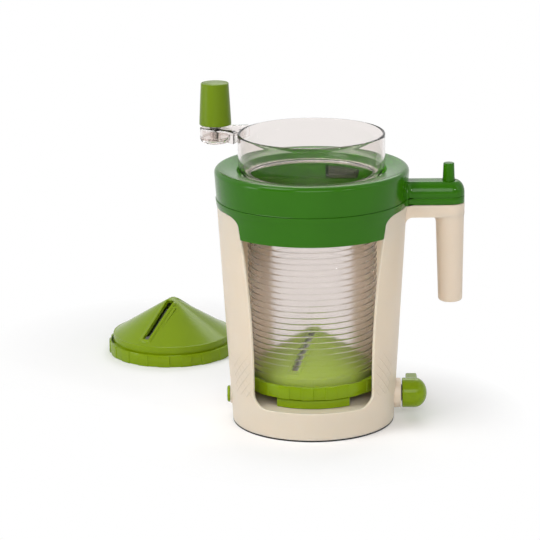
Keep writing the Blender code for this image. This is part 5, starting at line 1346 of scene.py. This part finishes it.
def build_floor(glow):
    """A square floor that glows a little to the camera, and is plain white to it away from the object."""
    x, y = np.meshgrid([-6.0, 6.0], [-6.0, 6.0])
    points, quads = grid(np.stack([x, y, 0 * x], -1))
    mesh = bpy.data.meshes.new("floor")
    mesh.from_pydata(points.tolist(), [], quads.tolist())
    floor = bpy.data.objects.new("floor", mesh)
    bpy.context.scene.collection.objects.link(floor)
    tree = Tree(bpy.data.materials.new("floor"))
    camera, glass, glossy = (tree.ray(kind) for kind in SEEN_RAYS)
    seen = camera.larger(glass).larger(glossy)
    tree.set(
        Base_Color=(0.88, 0.88, 0.88, 1.0),
        Roughness=0.9,
        Specular_IOR_Level=0.0,
        Emission_Color=tree.blend(seen, (0, 0, 0), (glow, glow, glow)),
        Emission_Strength=1.0,
    )
    tool, spare = (
        tree.node("ShaderNodeVectorMath", {"operation": "DISTANCE"}, [tree.place(), (*spot, 0.0)], output=1)
        for spot in ((0.0, 0.0), SPARE_CENTRE)
    )
    white = tree.node("ShaderNodeEmission", {}, {"Color": (1, 1, 1, 1), "Strength": 1.0})
    tree.show(tree.mixed(seen * tool.smaller(spare).above(0.160, 0.100), tree.own(), white))
    mesh.materials.append(tree.owner)


def build_world(ambient):
    """White to the camera, weaker to glossy rays towards the front, and a low even light on the pieces."""
    sky = Tree(bpy.data.worlds.new("studio"), "Background", "World Output")
    bpy.context.scene.world = sky.owner
    back = sky.split(sky.node("ShaderNodeTexCoord", {}, {}, output="Generated"))[1]
    smooth = {"interpolation_type": "SMOOTHSTEP"}
    weaker = sky.node("ShaderNodeMapRange", smooth, [back, -0.7, 0.3, 0.25, 1.0])
    camera, glass, glossy = (sky.ray(kind) for kind in SEEN_RAYS)
    shown = (glossy * weaker).larger(camera).larger(glass)
    sky.set(Color=(1, 1, 1, 1), Strength=shown.larger(sky.ray("Is Diffuse Ray") * ambient))


def build_stage():
    """The camera, the floor, the light all round and the lamps."""
    settings = bpy.context.scene.spiralizer_stage
    bpy.context.scene.view_settings.view_transform = "Standard"
    aim_camera()
    build_floor(settings.floor_glow)
    build_world(settings.ambient)
    for name, (place, size) in LAMPS.items():
        lamp(name + "_lamp", place, size, getattr(settings, name + "_power"))


# Add-on

def colour_setting(name, description, default):
    """A colour of the panel."""
    return bpy.props.FloatVectorProperty(
        name=name, description=description, default=default, subtype="COLOR", min=0, max=1
    )


def length_setting(name, description, default):
    """A length of the panel in metres."""
    return bpy.props.FloatProperty(name=name, description=description, default=default, unit="LENGTH")


def power_setting(name, description, default):
    """A lamp's power on the panel in watts."""
    return bpy.props.FloatProperty(name=name, description=description, default=default, subtype="POWER")


def share_setting(name, description, default):
    """A share of the panel from 0 to 1."""
    return bpy.props.FloatProperty(
        name=name, description=description, default=default, subtype="FACTOR", min=0, max=1
    )


class FinishSettings(bpy.types.PropertyGroup):
    """The colours and the finish of the pieces"""

    cream: colour_setting("Cream", "Housing colour", (0.73, 0.612, 0.484))
    green: colour_setting("Green", "Collar colour", (0.027, 0.138, 0.001))
    lime: colour_setting("Lime", "Insert and lever colour", (0.198, 0.300, 0.002))
    # The knob's colour is the lime darkened: painted shade on the knob's upright sides.
    knob: colour_setting("Knob", "Crank knob colour", (0.138, 0.220, 0.002))
    clear: colour_setting("Clear", "Tint of the drum", (0.930, 0.906, 0.895))
    lattice_pitch: length_setting("Lattice pitch", "Distance between the posts' pressed lines", 0.009)
    steel_roughness: share_setting("Steel roughness", "Roughness of the steel pieces", 0.22)


class DrumSettings(bpy.types.PropertyGroup):
    """The drum's thread"""

    thread_height: length_setting("Thread height", "How far the thread stands out of the drum", 0.0009)


class StageSettings(bpy.types.PropertyGroup):
    """The lamps and the light all round"""

    key_power: power_setting("Key power", "Power of the large lamp above at the left", 17.0)
    left_power: power_setting("Left power", "Power of the low lamp at the left", 7.0)
    fill_power: power_setting("Fill power", "Power of the lamp at the right", 2.5)
    front_power: power_setting("Front power", "Power of the lamp in front", 21.0)
    back_power: power_setting("Back power", "Power of the lamp behind", 12.0)
    spark_power: power_setting("Spark power", "Power of the small lamp at the right", 4.0)
    ambient: share_setting("Ambient", "Level of the light all round", 0.25)
    floor_glow: share_setting("Floor glow", "Light that the floor near the object sends to the camera", 0.12)


class HousingOperator(bpy.types.Operator):
    """Build the cream housing with its handle"""

    bl_idname = "spiralizer.housing"
    bl_label = "Housing"

    def execute(self, context):
        build_housing()
        return {"FINISHED"}


class LowerCollarOperator(bpy.types.Operator):
    """Build the lower collar with its skirt"""

    bl_idname = "spiralizer.lower_collar"
    bl_label = "Lower collar"

    def execute(self, context):
        build_lower_collar()
        return {"FINISHED"}


class UpperRingOperator(bpy.types.Operator):
    """Build the upper collar with the arm's cover"""

    bl_idname = "spiralizer.upper_ring"
    bl_label = "Upper collar"

    def execute(self, context):
        build_upper_ring()
        return {"FINISHED"}


class ReleaseOperator(bpy.types.Operator):
    """Build the release lever with its peg"""

    bl_idname = "spiralizer.release"
    bl_label = "Release lever"

    def execute(self, context):
        build_release()
        return {"FINISHED"}


class DrumOperator(bpy.types.Operator):
    """Build the clear drum, its crank arm and its seal"""

    bl_idname = "spiralizer.drum"
    bl_label = "Drum"

    def execute(self, context):
        build_drum()
        return {"FINISHED"}


class KnobOperator(bpy.types.Operator):
    """Build the crank knob"""

    bl_idname = "spiralizer.knob"
    bl_label = "Knob"

    def execute(self, context):
        build_knob()
        return {"FINISHED"}


class InsertsOperator(bpy.types.Operator):
    """Build both cone inserts"""

    bl_idname = "spiralizer.inserts"
    bl_label = "Cone inserts"

    def execute(self, context):
        build_inserts()
        return {"FINISHED"}


class FootOperator(bpy.types.Operator):
    """Build the prong table, the suction cup and its lever"""

    bl_idname = "spiralizer.foot"
    bl_label = "Foot"

    def execute(self, context):
        build_foot()
        return {"FINISHED"}


class StageOperator(bpy.types.Operator):
    """Build the floor, the lamps and the camera"""

    bl_idname = "spiralizer.stage"
    bl_label = "Stage"

    def execute(self, context):
        build_stage()
        return {"FINISHED"}


OPERATORS = (
    HousingOperator,
    LowerCollarOperator,
    UpperRingOperator,
    ReleaseOperator,
    DrumOperator,
    KnobOperator,
    InsertsOperator,
    FootOperator,
    StageOperator,
)


class SpiralizerPanel(bpy.types.Panel):
    """Lists the operators and their settings"""

    bl_idname = "VIEW3D_PT_spiralizer"
    bl_label = "Spiralizer"
    bl_space_type = "VIEW_3D"
    bl_region_type = "UI"
    bl_category = "Spiralizer"

    def draw(self, context):
        """Show every setting and one button for each operator."""
        for settings in ("spiralizer_finish", "spiralizer_drum", "spiralizer_stage"):
            group = getattr(context.scene, settings)
            for name in group.__annotations__:
                self.layout.prop(group, name)
        for operator in OPERATORS:
            self.layout.operator(operator.bl_idname)


GROUPS = {
    "spiralizer_finish": FinishSettings,
    "spiralizer_drum": DrumSettings,
    "spiralizer_stage": StageSettings,
}


def register():
    """Add the settings, the operators and the panel."""
    for name, group in GROUPS.items():
        bpy.utils.register_class(group)
        setattr(bpy.types.Scene, name, bpy.props.PointerProperty(type=group))
    for operator in OPERATORS:
        bpy.utils.register_class(operator)
    bpy.utils.register_class(SpiralizerPanel)


def unregister():
    """Take them away again."""
    bpy.utils.unregister_class(SpiralizerPanel)
    for operator in reversed(OPERATORS):
        bpy.utils.unregister_class(operator)
    for name, group in GROUPS.items():
        delattr(bpy.types.Scene, name)
        bpy.utils.unregister_class(group)


def main():
    """Build everything through the operators."""
    register()
    for operator in OPERATORS:
        family, name = operator.bl_idname.split(".")
        getattr(getattr(bpy.ops, family), name)()


if __name__ == "__main__":
    main()
